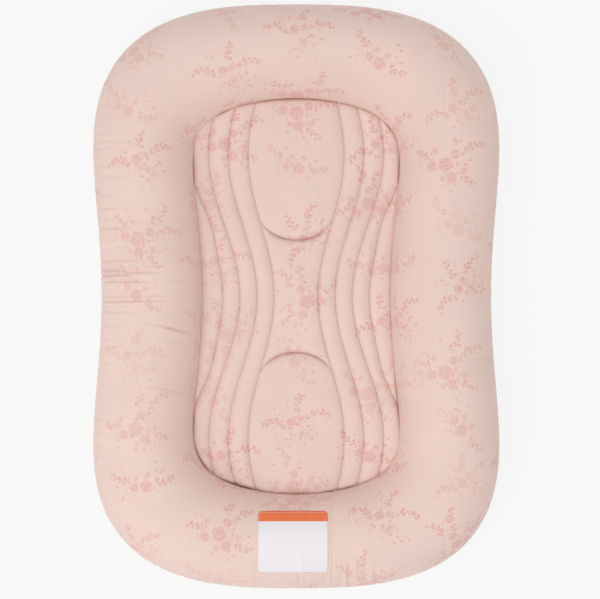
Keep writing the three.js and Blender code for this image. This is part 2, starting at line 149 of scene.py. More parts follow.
def leftward(directions: Array) -> Array:
    """Flat directions turned a quarter to the left."""
    return np.stack([-directions[:, 1], directions[:, 0]], axis=-1)


def share_along(away: Array, run: Array) -> Array:
    """How far along each run the place nearest to a point lies, from 0 to 1."""
    return np.clip((away * run).sum(axis=-1) / (run * run).sum(axis=-1), 0, 1)


def beside(line: Array, offset: float) -> Array:
    """The points of a flat line, moved sideways to its left."""
    return line + leftward(unit(np.gradient(line, axis=0))) * offset


def smooth_sample(values: Array, places: Array, closed: bool) -> Array:
    """Read an array along its first axis at fractional places, with a cubic through its values.

    Args:
        values: The array, with even steps along its first axis.
        places: Places along that axis, in steps.
        closed: Whether the last value is followed by the first.

    Returns:
        The values at the places.
    """
    first = np.floor(places).astype(int)
    part = (places - first).reshape(-1, *([1] * (values.ndim - 1)))
    weights = (
        (-part + 2 * part**2 - part**3) / 2,
        (2 - 5 * part**2 + 3 * part**3) / 2,
        (part + 4 * part**2 - 3 * part**3) / 2,
        (part**3 - part**2) / 2,
    )
    count = len(values)
    found = 0.0
    for offset, weight in enumerate(weights, start=-1):
        index = (first + offset) % count if closed else np.clip(first + offset, 0, count - 1)
        found = found + weight * values[index]
    return found


def flat_tree(points: Array) -> KDTree:
    """A tree of flat points, to look up the ones that lie near a place."""
    tree = KDTree(len(points))
    for index, (x, y) in enumerate(points.tolist()):
        tree.insert((x, y, 0.0), index)
    tree.balance()
    return tree


class LineFinder:
    """Finds how far points lie from a set of flat lines."""

    step = 0.4

    def __init__(self, lines: list[Array]) -> None:
        """Sample the lines closely.

        Args:
            lines: Points of each line, two numbers a point.
        """
        dense = [spaced(line, self.step) for line in lines]
        self.starts = np.concatenate([line[:-1] for line in dense])
        self.ends = np.concatenate([line[1:] for line in dense])
        self.tree = flat_tree((self.starts + self.ends) / 2)

    def distances(self, points: Array) -> Array:
        """Distance from each point to the nearest line.

        Args:
            points: The points. Their heights don't count.

        Returns:
            The distances.
        """
        nearest = np.array([self.tree.find((x, y, 0.0))[1] for x, y in points[:, :2].tolist()])
        start, run = self.starts[nearest], self.ends[nearest] - self.starts[nearest]
        away = points[:, :2] - start
        return np.linalg.norm(away - run * share_along(away, run)[:, None], axis=1)


# Meshes


def grid_faces(rows: int, columns: int, closed: bool, looped: bool = False) -> Array:
    """Four-sided faces between the points of a grid.

    Args:
        rows: Number of rows.
        columns: Points in a row.
        closed: Whether the last row joins the first.
        looped: Whether the last point of a row joins its first.

    Returns:
        Corner numbers, four for each face.
    """
    row = np.arange(rows if closed else rows - 1)[:, None]
    column = np.arange(columns if looped else columns - 1)[None, :]
    beyond = (column + 1) % columns
    here, ahead = row * columns, (row + 1) % rows * columns
    return np.stack([here + column, here + beyond, ahead + beyond, ahead + column], axis=-1).reshape(-1, 4)


def grid_normals(grid: Array, closed: bool) -> Array:
    """Unit normals of a grid of points, on the side that its faces turn to.

    Args:
        grid: The points, rows by columns.
        closed: Whether the last row joins the first.

    Returns:
        A normal for each point.
    """
    if closed:
        along = np.roll(grid, -1, axis=0) - np.roll(grid, 1, axis=0)
    else:
        along = np.gradient(grid, axis=0)
    return unit(np.cross(np.gradient(grid, axis=1), along))


def face_crosses(points: Array, faces: Array) -> Array:
    """Normals of faces, each as long as twice the face's area.

    Args:
        points: The points.
        faces: Corner numbers, three or four for each face.

    Returns:
        A normal for each face.
    """
    first, second, third, last = (points[faces[:, index]] for index in (0, 1, 2, -1))
    if faces.shape[1] == 3:
        return np.cross(second - first, third - first)
    return np.cross(third - first, last - second)


def triangle_normals(points: Array, faces: Array) -> Array:
    """Unit normals at the points of a three-sided mesh.

    Args:
        points: The points.
        faces: The triangles.

    Returns:
        A normal for each point.
    """
    normals = face_crosses(points, faces)
    total = np.zeros_like(points)
    for index in range(3):
        np.add.at(total, faces[:, index], normals)
    return unit(total)


@dataclass
class Shell:
    """Points and faces of one mesh, and where its points lie on the flat cloth."""

    points: Array
    faces: Array
    flat: Array | None = None

    def outward(self) -> "Shell":
        """Turn the faces of a closed mesh over if they point inwards.

        Returns:
            This mesh.
        """
        crosses = face_crosses(self.points, self.faces)
        if (self.points[self.faces].mean(axis=1) * crosses).sum() < 0:
            self.faces = self.faces[:, ::-1]
        return self

    def joined(self, *others: "Shell") -> "Shell":
        """Put this mesh and others into one.

        Args:
            *others: Meshes with as many corners a face.

        Returns:
            The joined mesh.
        """
        shells = (self, *others)
        starts = np.cumsum([0] + [len(shell.points) for shell in shells[:-1]])
        points = np.concatenate([shell.points for shell in shells])
        faces = np.concatenate([shell.faces + start for shell, start in zip(shells, starts)])
        flat = None if self.flat is None else np.concatenate([shell.flat for shell in shells])
        return Shell(points, faces, flat)


def thick_grid(grid: Array, thickness: float, closed: bool, flat: Array | None = None) -> Shell:
    """Give a grid of points a thickness on its inner side and close its edges.

    Args:
        grid: Points of the outer face, rows by columns.
        thickness: Thickness of the cloth, negative where the inner side is the one that the faces turn to.
        closed: Whether the last row joins the first.
        flat: Places of the points on the flat cloth.

    Returns:
        A closed mesh.
    """
    rows, columns = grid.shape[:2]
    inner = grid - grid_normals(grid, closed) * thickness
    over = grid_faces(rows, columns, closed)
    count = rows * columns
    number = np.arange(count).reshape(rows, columns)
    if closed:
        borders = [np.append(number[:, 0], number[0, 0]), np.append(number[:, -1], number[0, -1])[::-1]]
    else:
        borders = [np.concatenate([number[:, 0], number[-1, 1:], number[::-1, -1][1:], number[0, ::-1][1:]])]
    rims = [np.stack([b[:-1], b[1:], b[1:] + count, b[:-1] + count], axis=-1) for b in borders]
    faces = np.concatenate([over, over[:, ::-1] + count, *rims])
    points = np.concatenate([grid.reshape(-1, 3), inner.reshape(-1, 3)])
    both = None if flat is None else np.concatenate([flat.reshape(-1, 2)] * 2)
    return Shell(points, faces, both).outward()


def thick_triangles(points: Array, faces: Array, inner: Array, flat: Array) -> Shell:
    """Close a three-sided sheet with an inner face and a rim.

    Args:
        points: Points of the outer face.
        faces: Its triangles.
        inner: Points of the inner face, one for each outer point.
        flat: Places of the points on the flat cloth.

    Returns:
        A closed mesh of triangles.
    """
    count = len(points)
    edges = np.concatenate([faces[:, [0, 1]], faces[:, [1, 2]], faces[:, [2, 0]]])
    known = {tuple(edge) for edge in edges.tolist()}
    border = np.array(sorted(edge for edge in known if edge[::-1] not in known))
    first, second = border[:, 0], border[:, 1]
    rims = (
        np.stack([second, first, first + count], axis=-1),
        np.stack([second, first + count, second + count], axis=-1),
    )
    faces = np.concatenate([faces, faces[:, ::-1] + count, *rims])
    return Shell(np.concatenate([points, inner]), faces, np.concatenate([flat, flat])).outward()


def apart(points: Array, least: Array) -> Array:
    """Leave out points that lie too close to an earlier one.

    Args:
        points: Flat points.
        least: The least distance from each to the ones before it, 0 where it is kept in any case.

    Returns:
        The points that are kept, in order.
    """
    tree = flat_tree(points)
    kept = np.ones(len(points), bool)
    for index in np.flatnonzero(least > 0).tolist():
        near = tree.find_range((*points[index].tolist(), 0.0), least[index])
        kept[index] = not any(other < index and kept[other] for _, other, _ in near)
    return points[kept]


def triangulate(border: Array, lines: list[Array], rows: list[float], spacing: float) -> Shell:
    """Fill a flat outline with triangles whose edges follow its border and some lines inside it.

    Args:
        border: Points of the outline, counterclockwise, the first not repeated.
        lines: Points of each line inside.
        rows: Distances from the border and the lines at which rows of points follow them.
        spacing: Distance between the points of the open stretches.

    Returns:
        A flat mesh at a height of zero.
    """
    row_share, least_of_clearance, least_of_spacing, snap = 0.96, 0.9, 0.35, 1e-6
    ring = np.concatenate([border, border[:1]])
    fixed = np.concatenate([border, *lines])
    links = [(index, (index + 1) % len(border)) for index in range(len(border))]
    start = len(border)
    for line in lines:
        links += [(start + index, start + index + 1) for index in range(len(line) - 1)]
        start += len(line)
    low, high = border.min(axis=0), border.max(axis=0)
    columns, levels = np.meshgrid(
        np.arange(low[0], high[0], spacing), np.arange(low[1], high[1], spacing * math.sqrt(3) / 2))
    columns[1::2] += spacing / 2
    groups = []
    for row in rows:
        followed = [beside(ring, row)] + [beside(line, sign * row) for line in lines for sign in (-1, 1)]
        groups.append((np.concatenate(followed), row * row_share))
    open_points = np.stack([columns.ravel(), levels.ravel()], axis=-1)
    groups.append((open_points, max(rows, default=0.0) + spacing / 2))
    finder = LineFinder([ring, *lines])
    found, least = [fixed], [np.zeros(len(fixed))]
    for points, clearance in groups:
        found.append(points[finder.distances(points) > clearance])
        closest = min(clearance * least_of_clearance, spacing * least_of_spacing)
        least.append(np.full(len(found[-1]), closest))
    points = apart(np.concatenate(found), np.concatenate(least))
    made = delaunay_2d_cdt([Vector(point) for point in points.tolist()], links, [], 1, snap)
    flat = np.array([tuple(point) for point in made[0]])
    return Shell(lifted(flat, 0.0), np.array(made[2]), flat)


@dataclass(frozen=True)
class Stitch:
    """One stitch of sewing thread as it lies on the cloth, and the gap to the next."""

    length: float = 2.7
    gap: float = 0.9
    radius: float = 0.28
    sides: int = 6
    ring_places: tuple[float, ...] = (-1.0, -0.62, 0.62, 1.0)
    ring_shares: tuple[float, ...] = (0.45, 1.0, 1.0, 0.45)

    def row(self, line: Array, up: Array) -> Shell:
        """Lay stitches along a line.

        Args:
            line: Points of the line.
            up: Direction away from the cloth.

        Returns:
            All the stitches as one mesh of closed bodies.
        """
        total = lengths_along(line)[-1]
        middles = np.arange(self.length, total - self.length / 2, self.length + self.gap)
        centre = points_along(line, middles)
        half = self.length / 2
        ahead = unit(points_along(line, middles + half) - points_along(line, middles - half))
        upward = unit(up - ahead * (ahead * up).sum(axis=1, keepdims=True))
        sideways = np.cross(upward, ahead)
        turn = 2 * np.pi * np.arange(self.sides) / self.sides
        along = np.repeat(self.ring_places, self.sides) * half
        radius = np.repeat(self.ring_shares, self.sides) * self.radius
        across = radius * np.tile(np.cos(turn), len(self.ring_places))
        rise = radius * np.tile(np.sin(turn), len(self.ring_places))
        points = (
            centre[:, None] + ahead[:, None] * along[None, :, None]
            + sideways[:, None] * across[None, :, None] + upward[:, None] * rise[None, :, None]
        )
        tube = grid_faces(len(self.ring_places), self.sides, False, True)
        last = len(along) - self.sides
        caps = np.array([[3, 2, 1, 0], [5, 4, 3, 0], [last, last + 1, last + 2, last + 3],
                         [last, last + 3, last + 4, last + 5]])
        one = np.concatenate([tube[:, ::-1], caps[:, ::-1]])
        starts = np.arange(len(centre)) * len(along)
        faces = (one[None] + starts[:, None, None]).reshape(-1, 4)
        return Shell(points.reshape(-1, 3), faces).outward()


def add_object(name: str, data: bpy.types.ID) -> Piece:
    """Put an object with some data into the scene."""
    made = bpy.data.objects.new(name, data)
    bpy.context.scene.collection.objects.link(made)
    return made


@dataclass(frozen=True)
class ClothRun:
    """A cloth simulation of a sewn panel that its filling presses outwards."""

    frames: int = 20
    pressure: float = 4.0
    growth: float = 0.02
    stiffness: float = 15.0
    bending: float = 0.5
    mass: float = 0.15
    damping: float = 4.0
    quality: int = 4
    limit: float = 6.0

    def settle(self, points: Array, faces: Array, sewn: Array, slack: Array) -> Array:
        """Let the panel settle.

        Args:
            points: Points of the panel before.
            faces: Its faces, pointing outwards.
            sewn: How firmly each point is held, from 0 to 1.
            slack: How much of the spare cloth each point has, from 0 to 1.

        Returns:
            The points afterwards, each at most the limit away from its place before.
        """
        mesh = bpy.data.meshes.new("cloth_run")
        mesh.from_pydata((points * MM).tolist(), [], faces.tolist())
        piece = add_object("cloth_run", mesh)
        for name, weights in (("sewn", sewn), ("slack", slack)):
            group = piece.vertex_groups.new(name=name)
            steps = np.round(weights, 2)
            for value in np.unique(steps[steps > 0]):
                group.add(np.flatnonzero(steps == value).tolist(), float(value), "REPLACE")
        cloth = piece.modifiers.new("cloth", "CLOTH")
        for setting, value in {
            "quality": self.quality, "mass": self.mass, "air_damping": self.damping,
            "tension_stiffness": self.stiffness, "compression_stiffness": self.stiffness,
            "shear_stiffness": self.stiffness / 3, "bending_stiffness": self.bending,
            "vertex_group_mass": "sewn", "use_pressure": True, "uniform_pressure_force": self.pressure,
            "shrink_min": 0.0, "shrink_max": -self.growth, "vertex_group_shrink": "slack",
        }.items():
            setattr(cloth.settings, setting, value)
        cloth.settings.effector_weights.gravity = 0.0
        cloth.collision_settings.use_collision = False
        for number in range(1, self.frames + 1):
            bpy.context.scene.frame_set(number)
        settled = piece.evaluated_get(bpy.context.evaluated_depsgraph_get())
        moved = np.empty(len(points) * 3)
        settled.data.vertices.foreach_get("co", moved)
        bpy.data.objects.remove(piece)
        bpy.data.meshes.remove(mesh)
        bpy.context.scene.frame_set(1)
        shift = moved.reshape(-1, 3) / MM - points
        lengths = np.linalg.norm(shift, axis=1, keepdims=True)
        LOG.info("cloth run: points moved %.1f mm at most", lengths.max())
        return points + unit(shift) * self.limit * np.tanh(lengths / self.limit)


# Finishes


def linear(colour: str) -> tuple[float, float, float, float]:
    """Turn an sRGB hex colour into the linear colour that a shader takes."""
    values = [int(colour[start:start + 2], 16) / 255 for start in (1, 3, 5)]
    made = [value / 12.92 if value <= 0.04045 else ((value + 0.055) / 1.055) ** 2.4 for value in values]
    return (*made, 1.0)


def empty_tree(owner: bpy.types.Material | bpy.types.World) -> Tree:
    """The empty node tree of a material or a world."""
    owner.use_nodes = True
    owner.node_tree.nodes.clear()
    return owner.node_tree


def output(source: object) -> object:
    """A node's first output, or what is given where it isn't a node."""
    return source.outputs[0] if isinstance(source, Node) else source


VARIANTS = {
    "Math": "operation", "VectorMath": "operation", "MapRange": "interpolation_type", "Mix": "data_type",
    "TexNoise": "noise_dimensions", "TexVoronoi": "voronoi_dimensions", "TexWave": "bands_direction",
    "VectorRotate": "rotation_type",
}


def add_node(tree: Tree, kind: str, *inputs: object, named: dict | None = None, **settings: object) -> Node:
    """Add a shader node with its settings and links.

    Args:
        tree: The node tree.
        kind: The node's type, without ShaderNode in front. An option of it may follow after a dot.
        *inputs: What goes into its first inputs: a node, one of its outputs or a value.
        named: What goes into inputs that are given by name or number.
        **settings: The node's own settings.

    Returns:
        The node.
    """
    kind, _, variant = kind.partition(".")
    node = tree.nodes.new("ShaderNode" + kind)
    if variant:
        settings[VARIANTS[kind]] = variant
    for name, value in settings.items():
        setattr(node, name, value)
    for name, source in [*enumerate(inputs), *(named or {}).items()]:
        value = output(source)
        if isinstance(value, Socket):
            tree.links.new(value, node.inputs[name])
        else:
            node.inputs[name].default_value = value
    return node


@dataclass(frozen=True)
class Finish:
    """A surface: its name, the record's slot, its colour and the values of its shader."""

    name: str
    slot: str
    colour: str
    roughness: float = 0.8
    metallic: float = 0.0
    ior: float = 1.5
    sheen: float = 0.0
    sheen_roughness: float = 0.5

    def material(self) -> bpy.types.Material:
        """The material, made the first time that a piece needs it.

        Returns:
            The material.
        """
        made = bpy.data.materials.get(self.name)
        if made is None:
            made = bpy.data.materials.new(self.name)
            tree = empty_tree(made)
            shader = add_node(tree, "BsdfPrincipled", named={
                "Base Color": linear(self.colour), "Roughness": self.roughness, "Metallic": self.metallic,
                "IOR": self.ior, "Sheen Weight": self.sheen, "Sheen Roughness": self.sheen_roughness,
            })
            for name, source in self.detail(partial(add_node, tree)).items():
                tree.links.new(output(source), shader.inputs[name])
            add_node(tree, "OutputMaterial", shader)
        return made

    def detail(self, add: AddNode) -> Inputs:
        """What the surface shows from near, by the shader's input. A plain finish shows nothing more."""
        return {}

    def dress(self, piece: Piece) -> None:
        """Give a piece this finish."""
        piece.data.materials.clear()
        piece.data.materials.append(self.material())


@dataclass(frozen=True)
class WovenCotton(Finish):
    """Plain-weave cotton: a matt cloth of crossed threads, a little uneven in tone."""

    thread: float = 0.9
    weave_depth: float = 0.12
    mottle: float = 0.025

    def cloth_place(self, add: AddNode) -> Node:
        """Places on the flat cloth, in metres."""
        return add("UVMap", uv_map="cloth")

    def cloth_colour(self, add: AddNode) -> Node:
        """The dyed cloth's colour, with broad patches that are a little lighter or darker."""
        patches = add("TexNoise", named={"Vector": self.cloth_place(add), "Scale": 14.0, "Detail": 3.0})
        tone = add("MapRange", patches, 0.3, 0.7, 1 - self.mottle, 1 + self.mottle)
        return add("VectorMath.SCALE", linear(self.colour)[:3], named={"Scale": tone})

    def weave(self, add: AddNode) -> Node:
        """Bumps where the threads cross. Real threads are about 0.25 mm apart, drawn coarser to show."""
        turns = 2 * math.pi / (2 * self.thread * MM)
        axes = add("SeparateXYZ", add("VectorMath.SCALE", self.cloth_place(add), named={"Scale": turns}))
        crossed = add("Math.MULTIPLY", add("Math.SINE", axes.outputs[0]), add("Math.SINE", axes.outputs[1]))
        return add("Bump", named={"Height": crossed, "Strength": 0.6, "Distance": self.weave_depth * MM})

    def detail(self, add: AddNode) -> Inputs:
        """The uneven tone and the weave."""
        return {"Base Color": self.cloth_colour(add), "Normal": self.weave(add)}


@dataclass(frozen=True)
class MarkDrawing:
    """Draws each motif of the print in a mark's own frame.

    The frame's x and y are shares of the radius for a flower and leaves for the others. The other x is
    shifted by a length that is different for each mark.
    """

    add: AddNode
    x: Socket
    y: Socket
    other: Node
    wash: float = 0.24
    leaf_lean: float = math.radians(46)

    def loosened(self) -> list[Socket]:
        """Places shifted a little here and there, so that a drawing looks drawn by hand.

        Returns:
            The shifted places.
        """
        add = self.add
        spot = add("CombineXYZ", self.other, self.y)
        hand = add("TexNoise.2D", named={"Vector": spot, "Scale": 0.6, "Detail": 1.0})
        swing = add("VectorMath.SUBTRACT", hand.outputs[1], (0.5, 0.5, 0.5))
        moved = add("VectorMath.MULTIPLY_ADD", swing, (1.0, 1.0, 0.0), add("CombineXYZ", self.x, self.y))
        return list(add("SeparateXYZ", moved).outputs[:2])

    def foliage(self) -> Node:
        """Loose small leaves and petals that point away from a middle, fewer of them further out.

        Returns:
            Share of ink.
        """
        add = self.add
        spot = add("CombineXYZ", self.other, self.y)
        cells = add("TexVoronoi.2D", named={"Vector": spot, "Scale": 1.0, "Randomness": 0.85})
        away = add("VectorMath.SUBTRACT", spot, cells.outputs["Position"])
        middle = add("VectorMath.SUBTRACT", add("CombineXYZ", self.x, self.y), away)
        luck, fate, shade = add("SeparateXYZ", cells.outputs["Color"]).outputs
        middle_x, middle_y, _ = add("SeparateXYZ", middle).outputs
        turn = add("MapRange", luck, 0.0, 1.0, -1.0, 1.0)
        facing = add("Math.ADD", add("Math.ARCTAN2", middle_y, middle_x), turn)
        turned = add("VectorRotate.Z_AXIS", away, named={"Angle": facing}, invert=True)
        leaf_x, leaf_y, _ = add("SeparateXYZ", turned).outputs
        belly = add("Math.MULTIPLY_ADD", add("Math.MULTIPLY", leaf_x, leaf_x), -1.05, 0.21)
        depth = add("Math.SUBTRACT", belly, add("Math.ABSOLUTE", leaf_y))
        inside = add("MapRange.SMOOTHSTEP", depth, 0.0, 0.05)
        radius = add("VectorMath.LENGTH", middle).outputs[1]
        density = add("MapRange", radius, 0.8, 4.0, 1.1, 0.0)
        grown = add("Math.GREATER_THAN", density, fate)
        tone = add("MapRange", shade, 0.0, 1.0, 0.3, 0.85)
        leaves = add("Math.MULTIPLY", add("Math.MULTIPLY", inside, grown), tone)
        pool = add("TexNoise.2D", named={"Vector": spot, "Scale": 0.9, "Detail": 3.0})
        spread = add("MapRange", radius, 0.4, 3.6, 0.62, 0.26)
        wash = add("MapRange.SMOOTHSTEP", add("Math.SUBTRACT", spread, pool), 0.0, 0.16, 0.0, self.wash)
        return add("Math.MAXIMUM", leaves, wash)

    def rose(self) -> Node:
        """A full rose of radius 1 seen from the front, as wavy rings of petal edges.

        Returns:
            Share of ink.
        """
        add = self.add
        radius = add("VectorMath.LENGTH", add("CombineXYZ", self.x, self.y)).outputs[1]
        angle = add("Math.ARCTAN2", self.y, self.x)
        lobes = add("Math.MULTIPLY_ADD", angle, 5.0, add("Math.MULTIPLY", radius, 7.0))
        wave = add("Math.MULTIPLY_ADD", add("Math.SINE", lobes), 0.09, radius)
        rings = add("Math.MULTIPLY", wave, 3.1)
        step = add("Math.FRACT", rings)
        edge = add("MapRange.SMOOTHSTEP", step, 0.52, 0.8)
        turned = add("Math.MULTIPLY", add("Math.FLOOR", rings), 1.9)
        halves = add("Math.MULTIPLY_ADD", angle, 2.5, turned)
        split = add("Math.ABSOLUTE", add("Math.SINE", halves))
        gap = add("MapRange.SMOOTHSTEP", split, 0.2, 0.04, 0.0, 0.75)
        wash = add("MapRange", step, 0.0, 1.0, 0.3, 0.08)
        filled = add("Math.MAXIMUM", add("Math.MAXIMUM", edge, gap), wash)
        inside = add("MapRange.SMOOTHSTEP", wave, 0.97, 0.9)
        return add("Math.MULTIPLY", filled, inside)

    def blossom(self) -> Node:
        """An open blossom of radius 1 with five petals and a dark middle.

        Returns:
            Share of ink.
        """
        add = self.add
        radius = add("VectorMath.LENGTH", add("CombineXYZ", self.x, self.y)).outputs[1]
        half = add("Math.MULTIPLY", add("Math.ARCTAN2", self.y, self.x), 2.5)
        lobe = add("Math.ABSOLUTE", add("Math.COSINE", half))
        reach = add("MapRange.SMOOTHSTEP", lobe, 0.0, 0.9, 0.5, 0.95)
        share = add("Math.DIVIDE", radius, reach)
        inside = add("MapRange.SMOOTHSTEP", share, 1.0, 0.94)
        edge = add("MapRange.SMOOTHSTEP", share, 0.7, 0.92, 0.28, 1.0)
        vein = add("MapRange", lobe, 0.93, 1.0, 0.0, 0.6)
        middle = add("MapRange.SMOOTHSTEP", radius, 0.3, 0.22)
        petals = add("Math.MULTIPLY", add("Math.MAXIMUM", edge, vein), inside)
        return add("Math.MAXIMUM", petals, middle)

    def sprig(self) -> Node:
        """A leafy stem. It runs back from its tip at x 0, with one leaf on each side for each step of 1.

        Returns:
            Share of ink.
        """
        add, (x, y) = self.add, self.loosened()
        cosine, sine = math.cos(self.leaf_lean), math.sin(self.leaf_lean)
        upper = add("Math.GREATER_THAN", y, 0.0)
        back = add("Math.MULTIPLY", add("Math.MULTIPLY_ADD", upper, 0.5, x), -1.0)
        along = add("Math.FRACT", back)
        away = add("Math.ABSOLUTE", y)
        leaf_x = add("Math.MULTIPLY_ADD", away, sine, add("Math.MULTIPLY", along, cosine))
        leaf_y = add("Math.MULTIPLY_ADD", away, cosine, add("Math.MULTIPLY", along, -sine))
        luck = add("TexWhiteNoise", add("CombineXYZ", add("Math.FLOOR", back), upper))
        leaf_length = add("MapRange", luck, 0.0, 1.0, 0.55, 1.25)
        share = add("Math.DIVIDE", leaf_x, leaf_length, use_clamp=True)
        rounded = add("Math.SINE", add("Math.MULTIPLY", share, math.pi))
        within = add("Math.MULTIPLY", add("Math.MULTIPLY", rounded, leaf_length), 0.32)
        off = add("Math.ABSOLUTE", leaf_y)
        depth = add("Math.SUBTRACT", within, off)
        inside = add("MapRange.SMOOTHSTEP", depth, 0.0, 0.03)
        outline = add("MapRange", depth, 0.07, 0.13, 1.0, 0.6)
        rib = add("MapRange", off, 0.06, 0.02)
        leaves = add("Math.MULTIPLY", add("Math.MAXIMUM", outline, rib), inside)
        stem = add("MapRange.SMOOTHSTEP", away, 0.09, 0.04, 0.0, 0.6)
        return add("Math.MAXIMUM", leaves, stem)


@dataclass(frozen=True)
class PrintedCotton(WovenCotton):
    """Plain-weave cotton with flowers printed on it in one soft ink, fine lines over a pale wash.

    Where the cloth turns into the sewn crease, and a little along the ovals' stitch lines, its colour is
    mixed towards a darker, warmer one: painted shade.
    """

    ink: str = "#d4716f"
    cover: float = 0.84
    # Colour painted into the crease as shade, darker and warmer than the cloth
    folded: str = "#a25930"

    def detail(self, add: AddNode) -> Inputs:
        """The uneven tone, the print, the painted shade in the crease and the weave."""
        colour = add("Mix.RGBA", self.drawing(add), named={6: self.cloth_colour(add), 7: linear(self.ink)})
        # Painted shade: mix towards the folded colour by the fold attribute, which is set in deep creases and
        # along the ovals
        depth = add("Attribute", attribute_name="fold").outputs[2]
        deep = add("Mix.RGBA", depth, named={6: colour.outputs[2], 7: linear(self.folded)})
        return {"Base Color": deep.outputs[2], "Normal": self.weave(add)}

    def drawing(self, add: AddNode) -> Node:
        """Draw every motif on the marks that show it, a little worn here and there.

        Args:
            add: Adds a node to the material.

        Returns:
            Share of ink at each place, from 0 to 1.
        """
        mark = add("SeparateXYZ", add("Attribute", attribute_name="mark").outputs[1])
        strength = add("Attribute", attribute_name="strength").outputs[2]
        x, y, kind = mark.outputs
        draw = MarkDrawing(add, x, y, add("Math.MULTIPLY_ADD", strength, 60.0, x))
        total = 0.0
        for motif, drawn in (
            (Motif.SPRIG, draw.sprig()), (Motif.ROSE, draw.rose()),
            (Motif.BLOSSOM, draw.blossom()), (Motif.FOLIAGE, draw.foliage()),
        ):
            is_it = add("Math.COMPARE", kind, float(motif.value), 0.4)
            total = add("Math.ADD", total, add("Math.MULTIPLY", drawn, is_it))
        worn = add("TexNoise", named={"Vector": self.cloth_place(add), "Scale": 260.0, "Detail": 2.0})
        patchy = add("MapRange", worn, 0.35, 0.6, 0.45, 1.0)
        inked = add("Math.MULTIPLY", add("Math.MULTIPLY", total, strength), patchy)
        return add("Math.MULTIPLY", inked, self.cover, use_clamp=True)


@dataclass(frozen=True)
class SatinPatch(Finish):
    """Woven satin ribbon with a dyed band across its top, smoother than the cotton round it."""

    band_colour: str = "#e8733d"
    band_edge: float = 0.0
    rib: float = 0.8

    def detail(self, add: AddNode) -> Inputs:
        """The band and the satin's fine cross ribs, drawn coarser than real ones so that they show."""
        place = add("SeparateXYZ", add("UVMap", uv_map="cloth")).outputs[1]
        band = add("Math.GREATER_THAN", place, self.band_edge * MM)
        colour = add("Mix.RGBA", band, named={6: linear(self.colour), 7: linear(self.band_colour)})
        ribs = add("Math.SINE", add("Math.MULTIPLY", place, 2 * math.pi / (self.rib * MM)))
        bump = add("Bump", named={"Height": ribs, "Strength": 0.4, "Distance": 0.05 * MM})
        return {"Base Color": colour.outputs[2], "Normal": bump}


@dataclass(frozen=True)
class FibreFill(Finish):
    """Carded polyester fibre: a white, springy, matted surface."""

    def detail(self, add: AddNode) -> Inputs:
        """The tangle of fibres, drawn coarser than the real ones so that it shows."""
        place = add("TexCoord").outputs["Object"]
        tangle = add("TexNoise", named={"Vector": place, "Scale": 300.0, "Detail": 6.0})
        tone = add("MapRange", tangle, 0.3, 0.7, 0.9, 1.0)
        colour = add("VectorMath.SCALE", linear(self.colour)[:3], named={"Scale": tone})
        bump = add("Bump", named={"Height": tangle, "Strength": 0.8, "Distance": 1.2 * MM})
        return {"Base Color": colour, "Normal": bump}


@dataclass(frozen=True)
class ZipTapeWeave(Finish):
    """Herringbone polyester tape, woven tight and a little shinier than cotton."""

    rib: float = 1.2
    stripe: float = 3.0

    def detail(self, add: AddNode) -> Inputs:
        """The slanting ribs of the weave, which turn back at each stripe."""
        place = add("SeparateXYZ", add("UVMap", uv_map="cloth"))
        folded = add("Math.PINGPONG", place.outputs[0], self.stripe * MM)
        slant = add("Math.ADD", folded, place.outputs[1])
        ribs = add("Math.SINE", add("Math.MULTIPLY", slant, 2 * math.pi / (self.rib * MM)))
        tone = add("MapRange", ribs, -1.0, 1.0, 0.93, 1.0)
        colour = add("VectorMath.SCALE", linear(self.colour)[:3], named={"Scale": tone})
        bump = add("Bump", named={"Height": ribs, "Strength": 0.6, "Distance": 0.12 * MM})
        return {"Base Color": colour, "Normal": bump}


@dataclass(frozen=True)
class PlatedZinc(Finish):
    """Nickel-plated die-cast zinc: a bright metal, softly tumbled, with faint handling marks."""

    def detail(self, add: AddNode) -> Inputs:
        """Cloudy wear and fine scratches."""
        place = add("TexCoord").outputs["Object"]
        clouds = add("TexNoise", named={"Vector": place, "Scale": 500.0, "Detail": 4.0})
        rough = add("MapRange", clouds, 0.3, 0.7, self.roughness - 0.08, self.roughness + 0.12)
        marks = add("TexNoise", named={"Vector": place, "Scale": 2500.0, "Detail": 2.0})
        bump = add("Bump", named={"Height": marks, "Strength": 0.15, "Distance": 0.05 * MM})
        return {"Roughness": rough, "Normal": bump}


@dataclass(frozen=True)
class SpunThread(Finish):
    """Polyester sewing thread, two plies twisted together."""

    def detail(self, add: AddNode) -> Inputs:
        """The twist of the plies, as slanting bumps."""
        place = add("TexCoord").outputs["Object"]
        twist = add("TexWave.DIAGONAL", named={"Vector": place, "Scale": 420.0}).outputs[1]
        return {"Normal": add("Bump", named={"Height": twist, "Strength": 0.4, "Distance": 0.08 * MM})}


PRINTED = PrintedCotton("printed_plain_weave_cotton", "printed_cotton", "#e6cbc1", 0.9, sheen=0.15)
PLAIN = WovenCotton("dyed_plain_weave_cotton", "plain_cotton", "#ead0c7", 0.9, sheen=0.15)
LINING = WovenCotton("unbleached_cotton_lining", "lining_cotton", "#f1ece4", 0.92, sheen=0.1)
FILL = FibreFill("carded_polyester_fibre", "polyester_fill", "#f4f3f0", 0.95)
TAPE = ZipTapeWeave("herringbone_zip_tape", "zip_tape", "#e4c8be", 0.7, sheen=0.1)
# Extruded nylon filament is smooth, so each turn of the coil has a soft, narrow gloss
COIL = Finish("extruded_nylon_coil", "zip_coil", "#e6cbc1", 0.38, ior=1.53)
METAL = PlatedZinc("nickel_plated_zinc", "zip_metal", "#b9b5ae", 0.3, 1.0)
COVER_THREAD = SpunThread("blush_sewing_thread", "printed_cotton", "#d9b0a6", 0.6)
WHITE_THREAD = SpunThread("white_sewing_thread", "label_satin", "#efecec", 0.6)


